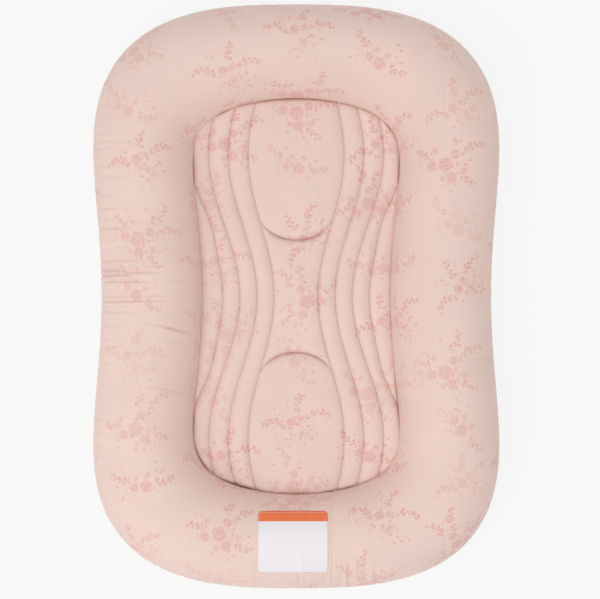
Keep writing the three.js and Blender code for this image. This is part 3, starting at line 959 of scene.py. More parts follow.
def add_piece(name: str, shell: Shell, finish: Finish, node: str | None = None) -> Piece:
    """Make an object from a mesh in millimetres, give it its finish and let it ride on the lounger.

    Args:
        name: Name of the piece.
        shell: Its points and faces, and where they lie on the flat cloth.
        finish: The finish that it takes.
        node: The CAD node that it replaces, if it does.

    Returns:
        The object.
    """
    mesh = bpy.data.meshes.new(name)
    mesh.from_pydata((shell.points * MM).tolist(), [], shell.faces.tolist())
    mesh.polygons.foreach_set("use_smooth", np.ones(len(mesh.polygons), bool))
    flat = shell.points[:, :2] if shell.flat is None else shell.flat
    layer = mesh.uv_layers.new(name="cloth")
    layer.data.foreach_set("uv", (flat[shell.faces.ravel()] * MM).astype(np.float32).ravel())
    piece = add_object(name, mesh)
    finish.dress(piece)
    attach(piece, "lounger")
    if node is not None:
        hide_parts(node)
    LOG.info("%s: %d points, %d faces", name, len(mesh.vertices), len(mesh.polygons))
    return piece


def add_sheet(name: str, shell: Shell, finish: Finish, node: str) -> None:
    """Make a sheet of cloth.

    Args:
        name: Name of the piece.
        shell: Its closed mesh, which has two faces of cloth.
        finish: The finish that it takes.
        node: The CAD node that it replaces.
    """
    piece = add_piece(name, shell, finish, node)


# The print


@dataclass(frozen=True)
class Mark:
    """One drawing of the print: where it lies on the flat cloth, how it is turned and how large it is."""

    motif: Motif
    x: float
    y: float
    turn: float
    size: float
    strength: float
    bend: float = 0.0


@dataclass(frozen=True)
class Group:
    """Drawings that stand together round their own middle.

    Each bunch of loose leaves has its middle, each sprig its direction, start, length and bend, and each
    blossom and rose its place and its radius.
    """

    leaves: tuple[tuple[float, float], ...]
    sprigs: tuple[tuple[float, float, float, float], ...]
    blossoms: tuple[tuple[float, float, float], ...]
    roses: tuple[tuple[float, float, float], ...]


# A large rose with smaller ones beside it, among leaves and sprigs
BOUQUET = Group(
    leaves=((0.0, 14.0), (-17.0, -9.0), (17.0, -7.0)),
    sprigs=((52, 20, 36.0, 0.7), (98, 24, 26.0, -0.6), (-8, 22, 24.0, -0.5), (188, 22, 20.0, 0.4)),
    blossoms=((23.0, 2.0, 4.6), (-20.0, 5.0, 4.2), (5.0, -21.0, 4.2)),
    roses=((0.0, -4.0, 9.5), (-14.0, -14.0, 6.5), (14.0, -14.0, 7.0), (4.0, 13.0, 6.0)),
)
# Bent sprigs that part from a loose bunch of leaves
SPRAY = Group(
    leaves=((-4.0, 4.0), (16.0, -8.0)),
    sprigs=((24, 14, 34.0, 0.9), (196, 12, 28.0, -0.6), (84, 16, 22.0, 0.5)),
    blossoms=((8.0, 8.0, 4.8), (-11.0, -7.0, 4.2), (15.0, -10.0, 4.2)),
    roses=((-2.0, 1.0, 6.2),),
)
# Two roses and two blossoms between leaves, with short sprigs
POSY = Group(
    leaves=((5.0, 3.0), (-13.0, 12.0)),
    sprigs=((118, 20, 26.0, 0.7), (-30, 14, 24.0, -0.5)),
    blossoms=((11.0, 6.0, 4.4), (-2.0, 14.0, 4.0)),
    roses=((0.0, -3.0, 8.0), (-12.0, 6.0, 5.6)),
)


@dataclass(frozen=True)
class FloralPrint:
    """Loose bouquets, sprays and posies, one in each cell of a half-drop repeat."""

    groups: tuple[Group, ...] = (BOUQUET, SPRAY, POSY)
    cell_width: float = 98.0
    cell_height: float = 80.0
    drop_share: float = 0.5
    shift_across: float = 12.0
    shift_along: float = 10.0
    most_turn: float = 50.0
    faintest: float = 0.45
    reach: float = 620.0
    leaf_pitch: float = 7.0
    leaf_cell: float = 7.4
    foliage_reach: float = 4.6
    sprig_reach: float = 1.25
    flower_reach: float = 1.04
    foliage_ink: float = 0.75
    foliage_ink_lean: float = 0.004
    sprig_ink: float = 0.75
    blossom_ink: float = 0.85
    blossom_turn: float = 40.0
    rose_turn: float = 25.0
    search_share: float = 1.3
    seed: int = 11

    def placed(self, group: Group, x: float, y: float, turn: float, strength: float) -> list[Mark]:
        """Turn a group of drawings and move it to its place.

        Args:
            group: The group.
            x: Place of the group's middle across the cloth.
            y: Place of the group's middle along the cloth.
            turn: Turn of the whole group, in degrees.
            strength: Strength of its ink.

        Returns:
            The marks, the ones underneath first.
        """
        cosine, sine = math.cos(math.radians(turn)), math.sin(math.radians(turn))

        def at(across: float, along: float) -> tuple[float, float]:
            """A place of the group, turned with it."""
            return x + across * cosine - along * sine, y + across * sine + along * cosine

        marks = []
        size = self.foliage_reach * self.leaf_cell
        for across, along in group.leaves:
            ink = strength * (self.foliage_ink + self.foliage_ink_lean * across)
            marks.append(Mark(Motif.FOLIAGE, *at(across, along), turn, size, ink))
        for direction, start, length, bend in group.sprigs:
            angle = math.radians(direction)
            place = at(start * math.cos(angle), start * math.sin(angle))
            marks.append(Mark(Motif.SPRIG, *place, direction + turn, length, strength * self.sprig_ink, bend))
        for across, along, radius in group.blossoms:
            place, turned = at(across, along), self.blossom_turn * across + turn
            marks.append(Mark(Motif.BLOSSOM, *place, turned, radius, strength * self.blossom_ink))
        for across, along, radius in group.roses:
            place, turned = at(across, along), self.rose_turn * along + turn
            marks.append(Mark(Motif.ROSE, *place, turned, radius, strength))
        return marks

    def marks(self) -> list[Mark]:
        """All the marks of the cloth, worked out cell by cell.

        Returns:
            The marks, the ones underneath first.
        """
        random = np.random.default_rng(self.seed)
        across, along = round(self.reach / self.cell_width), round(self.reach / self.cell_height)
        marks = []
        for column in range(-across, across + 1):
            for row in range(-along, along + 1):
                shift, turn = random.uniform(-1, 1, 2), random.uniform(-self.most_turn, self.most_turn)
                strength = random.uniform(self.faintest, 1.0)
                x = column * self.cell_width + self.shift_across * shift[0]
                drop = self.drop_share if column % 2 else 0
                y = (row + drop) * self.cell_height + self.shift_along * shift[1]
                group = self.groups[(row + 2 * column) % len(self.groups)]
                marks += self.placed(group, x, y, turn, strength)
        return marks

    def put_on(self, piece: Piece, shell: Shell, folds: Array) -> None:
        """Write into a mesh which mark each face shows, where its corners lie on that mark and how much shade
        is painted at each point.

        Args:
            piece: The printed piece.
            shell: The mesh that it was made from.
            folds: How much shade is painted at each point in the crease, from 0 to 1.
        """
        corners = shell.flat[shell.faces]
        middle = corners.mean(axis=1)
        order = np.argsort(middle[:, 0])
        across, along = middle[order].T
        found = np.zeros((*shell.faces.shape, 3))
        strength = np.zeros(len(shell.faces))
        for mark in self.marks():
            reach = mark.size * self.search_share
            first, last = np.searchsorted(across, (mark.x - reach, mark.x + reach))
            near = order[first:last][np.abs(along[first:last] - mark.y) < reach]
            local, centre = self.on_mark(mark, corners[near]), self.on_mark(mark, middle[near])
            if mark.motif is Motif.SPRIG:
                inside = (centre[:, 0] > 0) & (centre[:, 0] < mark.size / self.leaf_pitch)
                inside &= np.abs(centre[:, 1]) < self.sprig_reach
            else:
                limit = self.foliage_reach if mark.motif is Motif.FOLIAGE else self.flower_reach
                inside = np.linalg.norm(centre, axis=1) < limit
            found[near[inside], :, :2] = local[inside]
            found[near[inside], :, 2] = mark.motif.value
            strength[near[inside]] = mark.strength
        for name, kind, domain, field, values in (
            ("mark", "FLOAT_VECTOR", "CORNER", "vector", found),
            ("strength", "FLOAT", "FACE", "value", strength),
            # The fold attribute carries the painted shade for the crease
            ("fold", "FLOAT", "POINT", "value", folds),
        ):
            layer = piece.data.attributes.new(name, kind, domain)
            layer.data.foreach_set(field, values.astype(np.float32).ravel())

    def on_mark(self, mark: Mark, places: Array) -> Array:
        """Places of the flat cloth in a mark's own frame.

        Args:
            mark: The mark.
            places: Places on the flat cloth.

        Returns:
            Shares of the radius for a flower, and leaves for the others: from the middle for foliage, and
            back from the tip for a sprig.
        """
        angle = math.radians(mark.turn)
        away = (places - (mark.x, mark.y)) / mark.size
        ahead = away[..., 0] * math.cos(angle) + away[..., 1] * math.sin(angle)
        aside = away[..., 1] * math.cos(angle) - away[..., 0] * math.sin(angle)
        if mark.motif is Motif.SPRIG:
            leaves = mark.size / self.leaf_pitch
            return np.stack([1 - ahead, aside - mark.bend * ahead * (1 - ahead)], axis=-1) * leaves
        scale = self.foliage_reach if mark.motif is Motif.FOLIAGE else 1.0
        return np.stack([ahead, aside], axis=-1) * scale


PRINT = FloralPrint()


# Form of the lounger


@dataclass(frozen=True)
class WaistedOutline:
    """A rounded outline with a waist, symmetric both ways."""

    length: float
    square_width: float
    end_power: float
    side_power: float
    waist_depth: float
    waist_reach: float
    quarter_steps: int = 900
    halvings: int = 40

    def width_share(self, y: Array) -> Array:
        """Share of the full width that is left at a place along the outline."""
        wave = np.where(np.abs(y) < self.waist_reach, (1 + np.cos(np.pi * y / self.waist_reach)) / 2, 0)
        return 1 - 2 * self.waist_depth * wave / self.square_width

    def loop(self) -> Array:
        """The whole outline.

        Returns:
            A closed line of close points, counterclockwise from +X.
        """
        steps = np.linspace(0, 1, self.quarter_steps)
        turns = np.unique(np.concatenate([
            np.arcsin(steps ** (self.end_power / 2)), np.arccos(steps ** (self.side_power / 2))]))
        y = self.length / 2 * np.sin(turns) ** (2 / self.end_power)
        x = self.square_width / 2 * np.maximum(np.cos(turns), 0) ** (2 / self.side_power)
        quarter = np.stack([x * self.width_share(y), y], axis=-1)
        back = quarter[::-1] * (-1, 1)
        half = np.concatenate([quarter, back[1:]])
        return np.concatenate([half, -half[1:]])

    def at(self, shares: Array) -> Array:
        """Points of the outline at shares of its length."""
        loop = self.loop()
        return points_along(loop, (shares % 1.0) * lengths_along(loop)[-1])

    def holds(self, points: Array) -> Array:
        """Whether points lie inside the outline."""
        half_width = self.square_width / 2 * self.width_share(points[:, 1])
        across = np.abs(points[:, 0] / half_width) ** self.side_power
        return across + np.abs(points[:, 1] / (self.length / 2)) ** self.end_power < 1

    def distance_from(self, points: Array, directions: Array) -> Array:
        """Distance to the outline from points inside it.

        Args:
            points: The points.
            directions: The direction from each.

        Returns:
            The distances.
        """
        near, far = np.zeros(len(points)), np.full(len(points), self.length / 2)
        for _ in range(self.halvings):
            middle = (near + far) / 2
            inside = self.holds(points + directions * middle[:, None])
            near, far = np.where(inside, middle, near), np.where(inside, far, middle)
        return (near + far) / 2


@dataclass(frozen=True)
class Stations:
    """Places round the ring, each with its middle, its outward side and half the ring's width."""

    centre: Array
    outward: Array
    half: Array

    def place(self, across: Array, height: Array) -> Array:
        """Points at distances outwards from the middle and at heights, one row for each station."""
        return lifted(self.centre[:, None] + self.outward[:, None] * across[..., None], height)

    def edge(self, edge: Edge) -> Array:
        """Where the stations cross the outer seam or the crease, seen from above."""
        sign = 1 if edge is Edge.SEAM else -1
        return self.centre + self.outward * (sign * self.half)[:, None]


@dataclass(frozen=True)
class Spot:
    """A spot at the pad's edge where the crease differs, by how much and how far round it."""

    x: float
    y: float
    amount: float
    reach: float

    def near(self, points: Array) -> Array:
        """How much the crease differs near points seen from above."""
        away = np.linalg.norm(points - (self.x, self.y), axis=-1)
        return self.amount * bell(away / self.reach)


@dataclass(frozen=True)
class RingForm:
    """The stuffed ring's main shape, from which every layer of cloth and filling is worked out.

    At soft spots ring and pad swell into each other. At deep ones they part, so that the crease shows dark in
    its own shadow, and painted shade darkens the cloth's colour there too.
    """

    lounger: WaistedOutline = WaistedOutline(737, 532, 4.7, 2.85, 20, 290)
    pad: WaistedOutline = WaistedOutline(501, 291, 8.1, 1.92, 26.5, 318)
    middle: WaistedOutline = WaistedOutline(619, 411.5, 6.4, 2.385, 23.25, 304)
    height: float = 105.0
    seam_height: float = 40.0
    crease_height: float = 42.0
    foot_width: float = 60.0
    section_power: float = 2.2
    inner_power: float = 1.84
    inner_lean: float = 0.25
    # Crease depth at which the painted shade in the crease is full, and its strength
    full_shade_depth: float = 6.0
    crease_shade_strength: float = 0.85
    soft_rise: float = 6.0
    soft_power: float = 1.3
    soft_share: float = 0.36
    soft_spots: tuple[Spot, ...] = (Spot(-124, 207, 1.0, 23), Spot(119, -212, 0.75, 22))
    deep_spots: tuple[Spot, ...] = (
        Spot(-5, 250, 4.4, 85), Spot(-96, 235, 3.2, 32), Spot(-131, 163, 3.2, 25), Spot(-130, -158, 3.4, 30),
        Spot(-118, -212, 4.4, 30), Spot(-72, -245, 6.4, 36), Spot(0, -250, 3.2, 45), Spot(60, -248, 4.2, 38),
        Spot(105, -228, 2.4, 26), Spot(131, -135, 4.0, 30), Spot(110, 0, 1.0, 90), Spot(131, 162, 3.7, 28),
        Spot(112, 222, 2.6, 26), Spot(80, 243, 3.0, 26),
    )

    def stations(self, shares: Array) -> Stations:
        """Places round the ring where its section stands square to the pad's outline.

        Args:
            shares: Shares of the way round, counterclockwise from +X.

        Returns:
            The stations.
        """
        point = self.middle.at(shares)
        line = self.pad.loop()
        start, run = line[:-1], np.diff(line, axis=0)
        long_enough = np.linalg.norm(run, axis=1) > 1e-9
        start, run = start[long_enough], run[long_enough]
        foot = np.empty_like(point)
        for index, spot in enumerate(point):
            feet = start + run * share_along(spot - start, run)[:, None]
            foot[index] = feet[np.argmin(((feet - spot) ** 2).sum(axis=1))]
        outward = unit(point - foot)
        half = (np.linalg.norm(point - foot, axis=1) + self.lounger.distance_from(point, outward)) / 2
        return Stations(foot + outward * half[:, None], outward, half)

    def even_stations(self, count: int) -> Stations:
        """A number of stations at even steps all the way round."""
        return self.stations(np.arange(count) / count)

    def softness(self, points: Array) -> Array:
        """How soft the crease is near points seen from above, from 0 to 1."""
        return sum(spot.near(points) for spot in self.soft_spots)

    def depth(self, points: Array) -> Array:
        """Depth of the crease near points seen from above."""
        return np.max([spot.near(points) for spot in self.deep_spots], axis=0)

    def crease_shade_share(self, depth: Array) -> Array:
        """How much shade is painted into the cloth at a crease of a depth, from 0 to 1."""
        return np.clip(depth / self.full_shade_depth, 0, 1) * self.crease_shade_strength

    def crease(self, points: Array) -> Array:
        """Height of the crease near points seen from above."""
        return self.crease_height + self.soft_rise * self.softness(points)

    def upper(self, stations: Stations, shares: Array, inset: float = 0.0) -> Array:
        """The ring's upper side, from the outer seam over the top to the crease.

        Args:
            stations: Places round the ring.
            shares: Shares of the way across.
            inset: Depth under the cover's face.

        Returns:
            Points, one row for each station.
        """
        turn = np.pi * shares
        foot = stations.edge(Edge.CREASE)
        soft = self.softness(foot)[:, None] * fade((1 - shares) / self.soft_share)
        inner = (self.inner_power - self.inner_lean * stations.outward[:, 1])[:, None]
        inner = inner + (self.soft_power - inner) * soft
        power = 2 / np.where(shares > 0.5, inner, self.section_power)
        across = (stations.half[:, None] - inset) * signed_power(np.cos(turn), power)
        edge = self.seam_height + (self.crease(foot)[:, None] - self.seam_height) * shares
        height = edge + (self.height - inset - edge) * np.abs(np.sin(turn)) ** power
        return stations.place(across, height)

    def lower(self, stations: Stations, roll: Array, rise: Array, inset: float, lift: float) -> Array:
        """The underside, from the outer seam under the ring to the level inside it.

        Args:
            stations: Places round the ring.
            roll: Shares of the quarter turn from the seam to the flat foot.
            rise: Shares of the way from the foot up to the crease.
            inset: Depth above the cover's face.
            lift: Height inside the ring.

        Returns:
            Points, one row for each station.
        """
        foot = self.foot_width / 2
        reach = stations.half[:, None] - inset - foot
        turn = np.pi / 2 * (1 - roll)
        outer = foot + reach * np.sin(turn)
        outer_height = np.broadcast_to(inset + (self.seam_height - inset) * (1 - np.cos(turn)), outer.shape)
        inner = -foot - reach * rise
        inner_height = np.broadcast_to(inset + (lift - inset) * rise**2, inner.shape)
        return stations.place(np.hstack([outer, inner]), np.hstack([outer_height, inner_height]))


@dataclass(frozen=True)
class Fold:
    """A crease in the cloth along a straight line seen from above, with a low ridge on each side."""

    x0: float
    y0: float
    x1: float
    y1: float
    depth: float
    width: float = 2.8

    end_power = 0.8
    ridge_share, ridge_place, ridge_width = 0.4, 1.9, 0.8

    def press(self, points: Array) -> Array:
        """How far the fold presses the cloth in.

        Args:
            points: Points of the ring.

        Returns:
            The depth at each, negative on the ridges.
        """
        start, run = np.array([self.x0, self.y0]), np.array([self.x1 - self.x0, self.y1 - self.y0])
        away = points[..., :2] - start
        share = share_along(away, run)
        side = np.linalg.norm(away - share[..., None] * run, axis=-1) / self.width
        ridge = self.ridge_share * bell((side - self.ridge_place) / self.ridge_width)
        return self.depth * np.sin(np.pi * share) ** self.end_power * (bell(side) - ridge)


# The larger folds: both ends, the depth and, where it isn't the usual one, the width of each
FOLDS = tuple(Fold(*numbers) for numbers in (
    (-290, 222, -222, 221, 0.8), (-296, 193, -196, 192, 1.2), (-290, 185, -206, 186, 0.9),
    (-290, 170, -210, 169, 0.9), (-296, 163, -190, 164, 1.1), (-292, 150, -196, 149, 1.1),
    (-286, 128, -212, 127, 0.9), (-282, 110, -200, 110, 1.5, 2.2), (-282, 97, -186, 98, 1.4, 2.2),
    (-290, 92, -124, 93, 0.7, 3.6), (-280, 84, -192, 86, 1.9, 1.9), (-276, 60, -205, 61, 0.8),
    (-278, 43, -184, 46, 2.2, 1.9), (-276, 34, -166, 30, 3.3, 1.9), (-270, 24, -180, 30, 2.7, 1.8),
    (-272, 18, -176, 20, 2.0, 1.8), (-270, 8, -170, 7, 1.2), (-276, 1, -150, 2, 1.0, 3.2),
    (-276, -7, -152, -4, 2.8, 1.8), (-270, -19, -188, -18, 1.2, 2.4), (-268, -35, -206, -34, 0.9),
    (-276, -62, -205, -60, 1.0), (-280, -84, -214, -83, 0.8), (-286, -150, -214, -152, 1.0),
    (-288, -168, -206, -170, 1.1), (-288, -182, -216, -186, 0.9), (-280, -122, -226, -122, 0.8),
    (-108, -50, -200, -28, 0.8, 2.6), (-172, -34, -131, -47, 2.0, 1.4), (-108, -62, -190, -46, 0.4, 3.0),
    (-122, -127, -200, -106, 0.7, 2.6), (-181, -109, -132, -122, 2.0, 1.4),
    (-150, -244, -196, -274, 1.2, 1.5), (-104, 20, -166, 22, 0.8, 3.4), (-104, 92, -150, 96, 0.7, 3.4),
    (-45, -236, -45, -288, 0.9, 2.2), (-60, -232, -61, -272, 0.7, 2.2), (-9, -236, -9, -290, 0.9, 2.0),
    (14, -238, 15, -288, 0.8, 2.0), (-66, -226, -72, -262, 0.6, 2.2), (30, -236, 31, -276, 0.6, 2.2),
    (5, -386, 3, -330, 1.1, 2.2), (12, -384, 12, -336, 0.8, 2.2), (-50, -386, -49, -320, 0.9, 2.4),
    (66, -378, 65, -318, 1.3, 2.2), (79, -360, 77, -318, 1.2, 2.2), (100, -380, 99, -318, 1.2, 2.4),
    (124, -374, 121, -330, 0.9, 2.4), (88, -380, 88, -340, 0.8, 2.2), (-96, -384, -93, -336, 0.8, 2.6),
    (-50, 386, -50, 326, 0.8, 2.6), (62, 388, 61, 334, 0.8, 2.6), (10, 388, 11, 340, 0.6, 2.6),
    (-112, 378, -108, 332, 0.7, 2.6), (280, 14, 204, 12, 0.9), (280, -4, 212, -5, 0.8),
    (276, 30, 216, 31, 0.7), (284, -76, 196, -78, 1.0), (286, -96, 214, -97, 0.8), (284, 84, 216, 84, 0.7),
    (104, 40, 158, 43, 0.7, 3.0), (104, -32, 152, -34, 0.7, 3.0),
))


# Stretches of the ring where its stations lie closer together, for small folds and seams: from and to across,
# from and to along, and how many times closer
CLOSE_STRETCHES = (
    (28, 61, -400, 0, 4.0), (-300, -150, -110, 235, 2.2), (-80, 28, -400, 0, 1.6), (61, 110, -400, 0, 1.6),
)


@dataclass
class BolsterCover:
    """The printed panel over the ring, sewn to the base at the outer seam and to the pad at the crease."""

    form: RingForm
    cloth: float = 0.8
    tuck_depth: float = 5.0
    tuck_lean: float = 0.1
    tuck_shares: tuple[float, ...] = (0.3, 0.65, 1.0)
    seam_pinch: float = 1.3
    seam_reach: float = 3.0
    panel_seam_x: float = 44.5
    panel_seam_depth: float = 1.0
    panel_seam_width: float = 1.3
    panel_ridge_share: float = 0.3
    panel_ridge_place: float = 2.4
    panel_ridge_width: float = 1.2
    stations_round: int = 820
    close_stretches: tuple[tuple[float, ...], ...] = CLOSE_STRETCHES
    steps_across: int = 80
    close_steps: tuple[float, ...] = (0.0006, 0.0016, 0.0032, 0.0058)
    run: ClothRun = ClothRun(frames=20, pressure=3.0, growth=0.03, limit=5.0)
    run_round: int = 300
    run_across: int = 32
    slack: float = 0.25
    right_slack: float = 0.5
    right_from_x: float = -190.0
    right_spread: float = 120.0
    corner_slack: float = 0.35
    corner_y: float = 250.0
    corner_spread: float = 60.0
    edge_fold_share: float = 0.15
    fold_growth: float = 1.3
    # How far up from the crease the painted shade reaches, further where the crease is deep
    crease_shade_reach: float = 0.3
    crease_shade_spread: float = 0.5
    seam_folds: int = 130
    seam_fold_reach: tuple[float, float] = (10, 34)
    seam_fold_depth: tuple[float, float] = (0.3, 0.9)
    seam_fold_lean: float = 4
    seam_fold_start: float = 0.6
    seed: int = 5
    folds: tuple[Fold, ...] = FOLDS

    def shares_across(self) -> Array:
        """Shares of the way across the panel, closer together at both edges."""
        close = np.array(self.close_steps)
        return np.unique(np.concatenate([np.linspace(0, 1, self.steps_across + 1), close, 1 - close]))

    def shares_round(self) -> Array:
        """Shares of the way round, closer together in some stretches.

        Returns:
            The shares.
        """
        even = np.arange(self.stations_round) / self.stations_round
        x, y = self.form.stations(even).centre.T
        detail = np.ones(len(even))
        for low_x, high_x, low_y, high_y, closer in self.close_stretches:
            detail[(x > low_x) & (x < high_x) & (y > low_y) & (y < high_y)] = closer
        reached = np.concatenate([[0.0], np.cumsum(detail)])
        steps = np.linspace(0, reached[-1], round(reached[-1]), endpoint=False)
        return np.interp(steps, reached, np.append(even, 1.0))

    def settled(self, shares_round: Array, shares_across: Array) -> Array:
        """How far each point of the panel moves when it is stuffed, from a coarser simulation.

        Args:
            shares_round: Shares of the way round, one for each row.
            shares_across: Shares of the way across, one for each column.

        Returns:
            Shifts, one for each point of the fine panel.
        """
        stations = self.form.even_stations(self.run_round)
        grid = self.form.upper(stations, np.linspace(0, 1, self.run_across + 1))
        faces = grid_faces(self.run_round, self.run_across + 1, True)
        held = np.zeros(grid.shape[:2])
        held[:, [0, -1]] = 1
        x, y = stations.centre.T
        right = self.right_slack * fade((x - self.right_from_x) / self.right_spread)
        corner = self.corner_slack * bell((np.abs(y) - self.corner_y) / self.corner_spread)
        slack = np.clip(self.slack + right + corner, 0, 1)[:, None] * np.ones(self.run_across + 1)
        moved = self.run.settle(grid.reshape(-1, 3), faces[:, ::-1], held.ravel(), slack.ravel())
        shift = moved.reshape(grid.shape) - grid
        fine = smooth_sample(shift, shares_round * self.run_round, True)
        fine = smooth_sample(np.swapaxes(fine, 0, 1), shares_across * self.run_across, False)
        return np.swapaxes(fine, 0, 1)

    def surface(self) -> tuple[Array, Array, Array]:
        """The panel's face, where its points lie on the flat cloth and how much shade is painted on them in
        the crease.

        Returns:
            Points, flat places and shares of painted shade, one row for each station.
        """
        shares_round, shares_across = self.shares_round(), self.shares_across()
        stations = self.form.stations(shares_round)
        grid = self.form.upper(stations, shares_across)
        arc = lengths_along(grid)
        top = np.argmax(grid[0, :, 2])
        unrolled = (arc[:, top:top + 1] - arc)[..., None] * stations.outward[:, None]
        unrolled = unrolled + stations.centre[:, None]
        grid = grid + self.settled(shares_round, shares_across)
        folded = sum(fold.press(grid) for fold in self.folds + self.small_folds(stations))
        outwards = -grid_normals(grid, True)
        flatter = np.clip(self.edge_fold_share + self.fold_growth * outwards[..., 2], 0, 1)
        press = self.panel_seam(grid) + self.seam_pinch * fade(arc / self.seam_reach) + folded * flatter
        grid, flat = self.tucked(grid - outwards * press[..., None], stations, unrolled)
        # Painted shade: the share of darker colour near the bottom of the crease on the inner side, wider
        # where the crease is deep
        depth = self.form.depth(stations.edge(Edge.CREASE))[:, None]
        above = np.maximum(grid[..., 2] - self.form.crease_height, 0)
        crease_shade_falloff = bell(above / (self.crease_shade_reach + self.crease_shade_spread * depth))
        inner = np.arange(grid.shape[1]) > grid.shape[1] / 2
        return grid, flat, self.form.crease_shade_share(depth) * crease_shade_falloff * inner

    def panel_seam(self, points: Array) -> Array:
        """Depth of the seam between the panel's two ends.

        Args:
            points: Points of the ring.

        Returns:
            The depth at each, negative on the ridge beside it.
        """
        away = (points[..., 0] - self.panel_seam_x) / self.panel_seam_width
        ridge = self.panel_ridge_share * bell((away - self.panel_ridge_place) / self.panel_ridge_width)
        return np.where(points[..., 1] < 0, self.panel_seam_depth * (bell(away) - ridge), 0.0)

    def small_folds(self, stations: Stations) -> tuple[Fold, ...]:
        """Short folds all along the outer seam, where the panel was eased into it.

        Args:
            stations: Places round the ring.

        Returns:
            The folds.
        """
        random = np.random.default_rng(self.seed)
        count = self.seam_folds
        chosen = random.integers(0, len(stations.half), count)
        edge, outward = stations.edge(Edge.SEAM)[chosen], stations.outward[chosen]
        reach = random.uniform(*self.seam_fold_reach, (count, 1))
        depth = random.uniform(*self.seam_fold_depth, count)
        lean = leftward(outward) * random.uniform(-self.seam_fold_lean, self.seam_fold_lean, (count, 1))
        start, end = edge + outward * reach * self.seam_fold_start, edge - outward * reach + lean
        return tuple(Fold(*a, *b, c) for a, b, c in zip(start.tolist(), end.tolist(), depth.tolist()))

    def tucked(self, grid: Array, stations: Stations, flat: Array) -> tuple[Array, Array]:
        """Run the panel down between ring and pad, to where it is sewn to the pad.

        Args:
            grid: Points of the panel.
            stations: Its stations.
            flat: Where its points lie on the flat cloth.

        Returns:
            The longer panel's points and flat places.
        """
        outward = lifted(stations.outward, 0.0)
        rows, flats = [grid], [flat]
        for share in self.tuck_shares:
            row = grid[:, -1] + outward * self.tuck_lean * share - UP * self.tuck_depth * share
            rows.append(row[:, None])
            flats.append((flat[:, -1] - stations.outward * self.tuck_depth * share)[:, None])
        return np.concatenate(rows, axis=1), np.concatenate(flats, axis=1)

    def build(self) -> BVHTree:
        """Make the panel.

        Returns:
            Its face as a tree, for what is sewn on it.
        """
        # folds here is the painted shade in the crease, not the cloth's folds
        grid, flat, folds = self.surface()
        shell = thick_grid(grid, -self.cloth, True, flat)
        piece = add_piece("bolster_panel", shell, PRINTED, "bolster_cover")
        PRINT.put_on(piece, shell, np.tile(folds.ravel(), 2))
        faces = grid_faces(*grid.shape[:2], True)
        return BVHTree.FromPolygons(grid.reshape(-1, 3).tolist(), faces.tolist())


def flat_layer(mesh: Shell, over: Array | float, under: Array | float) -> Shell:
    """A flat mesh of triangles made into a closed layer between two heights."""
    return thick_triangles(lifted(mesh.flat, over), mesh.faces, lifted(mesh.flat, under), mesh.flat)


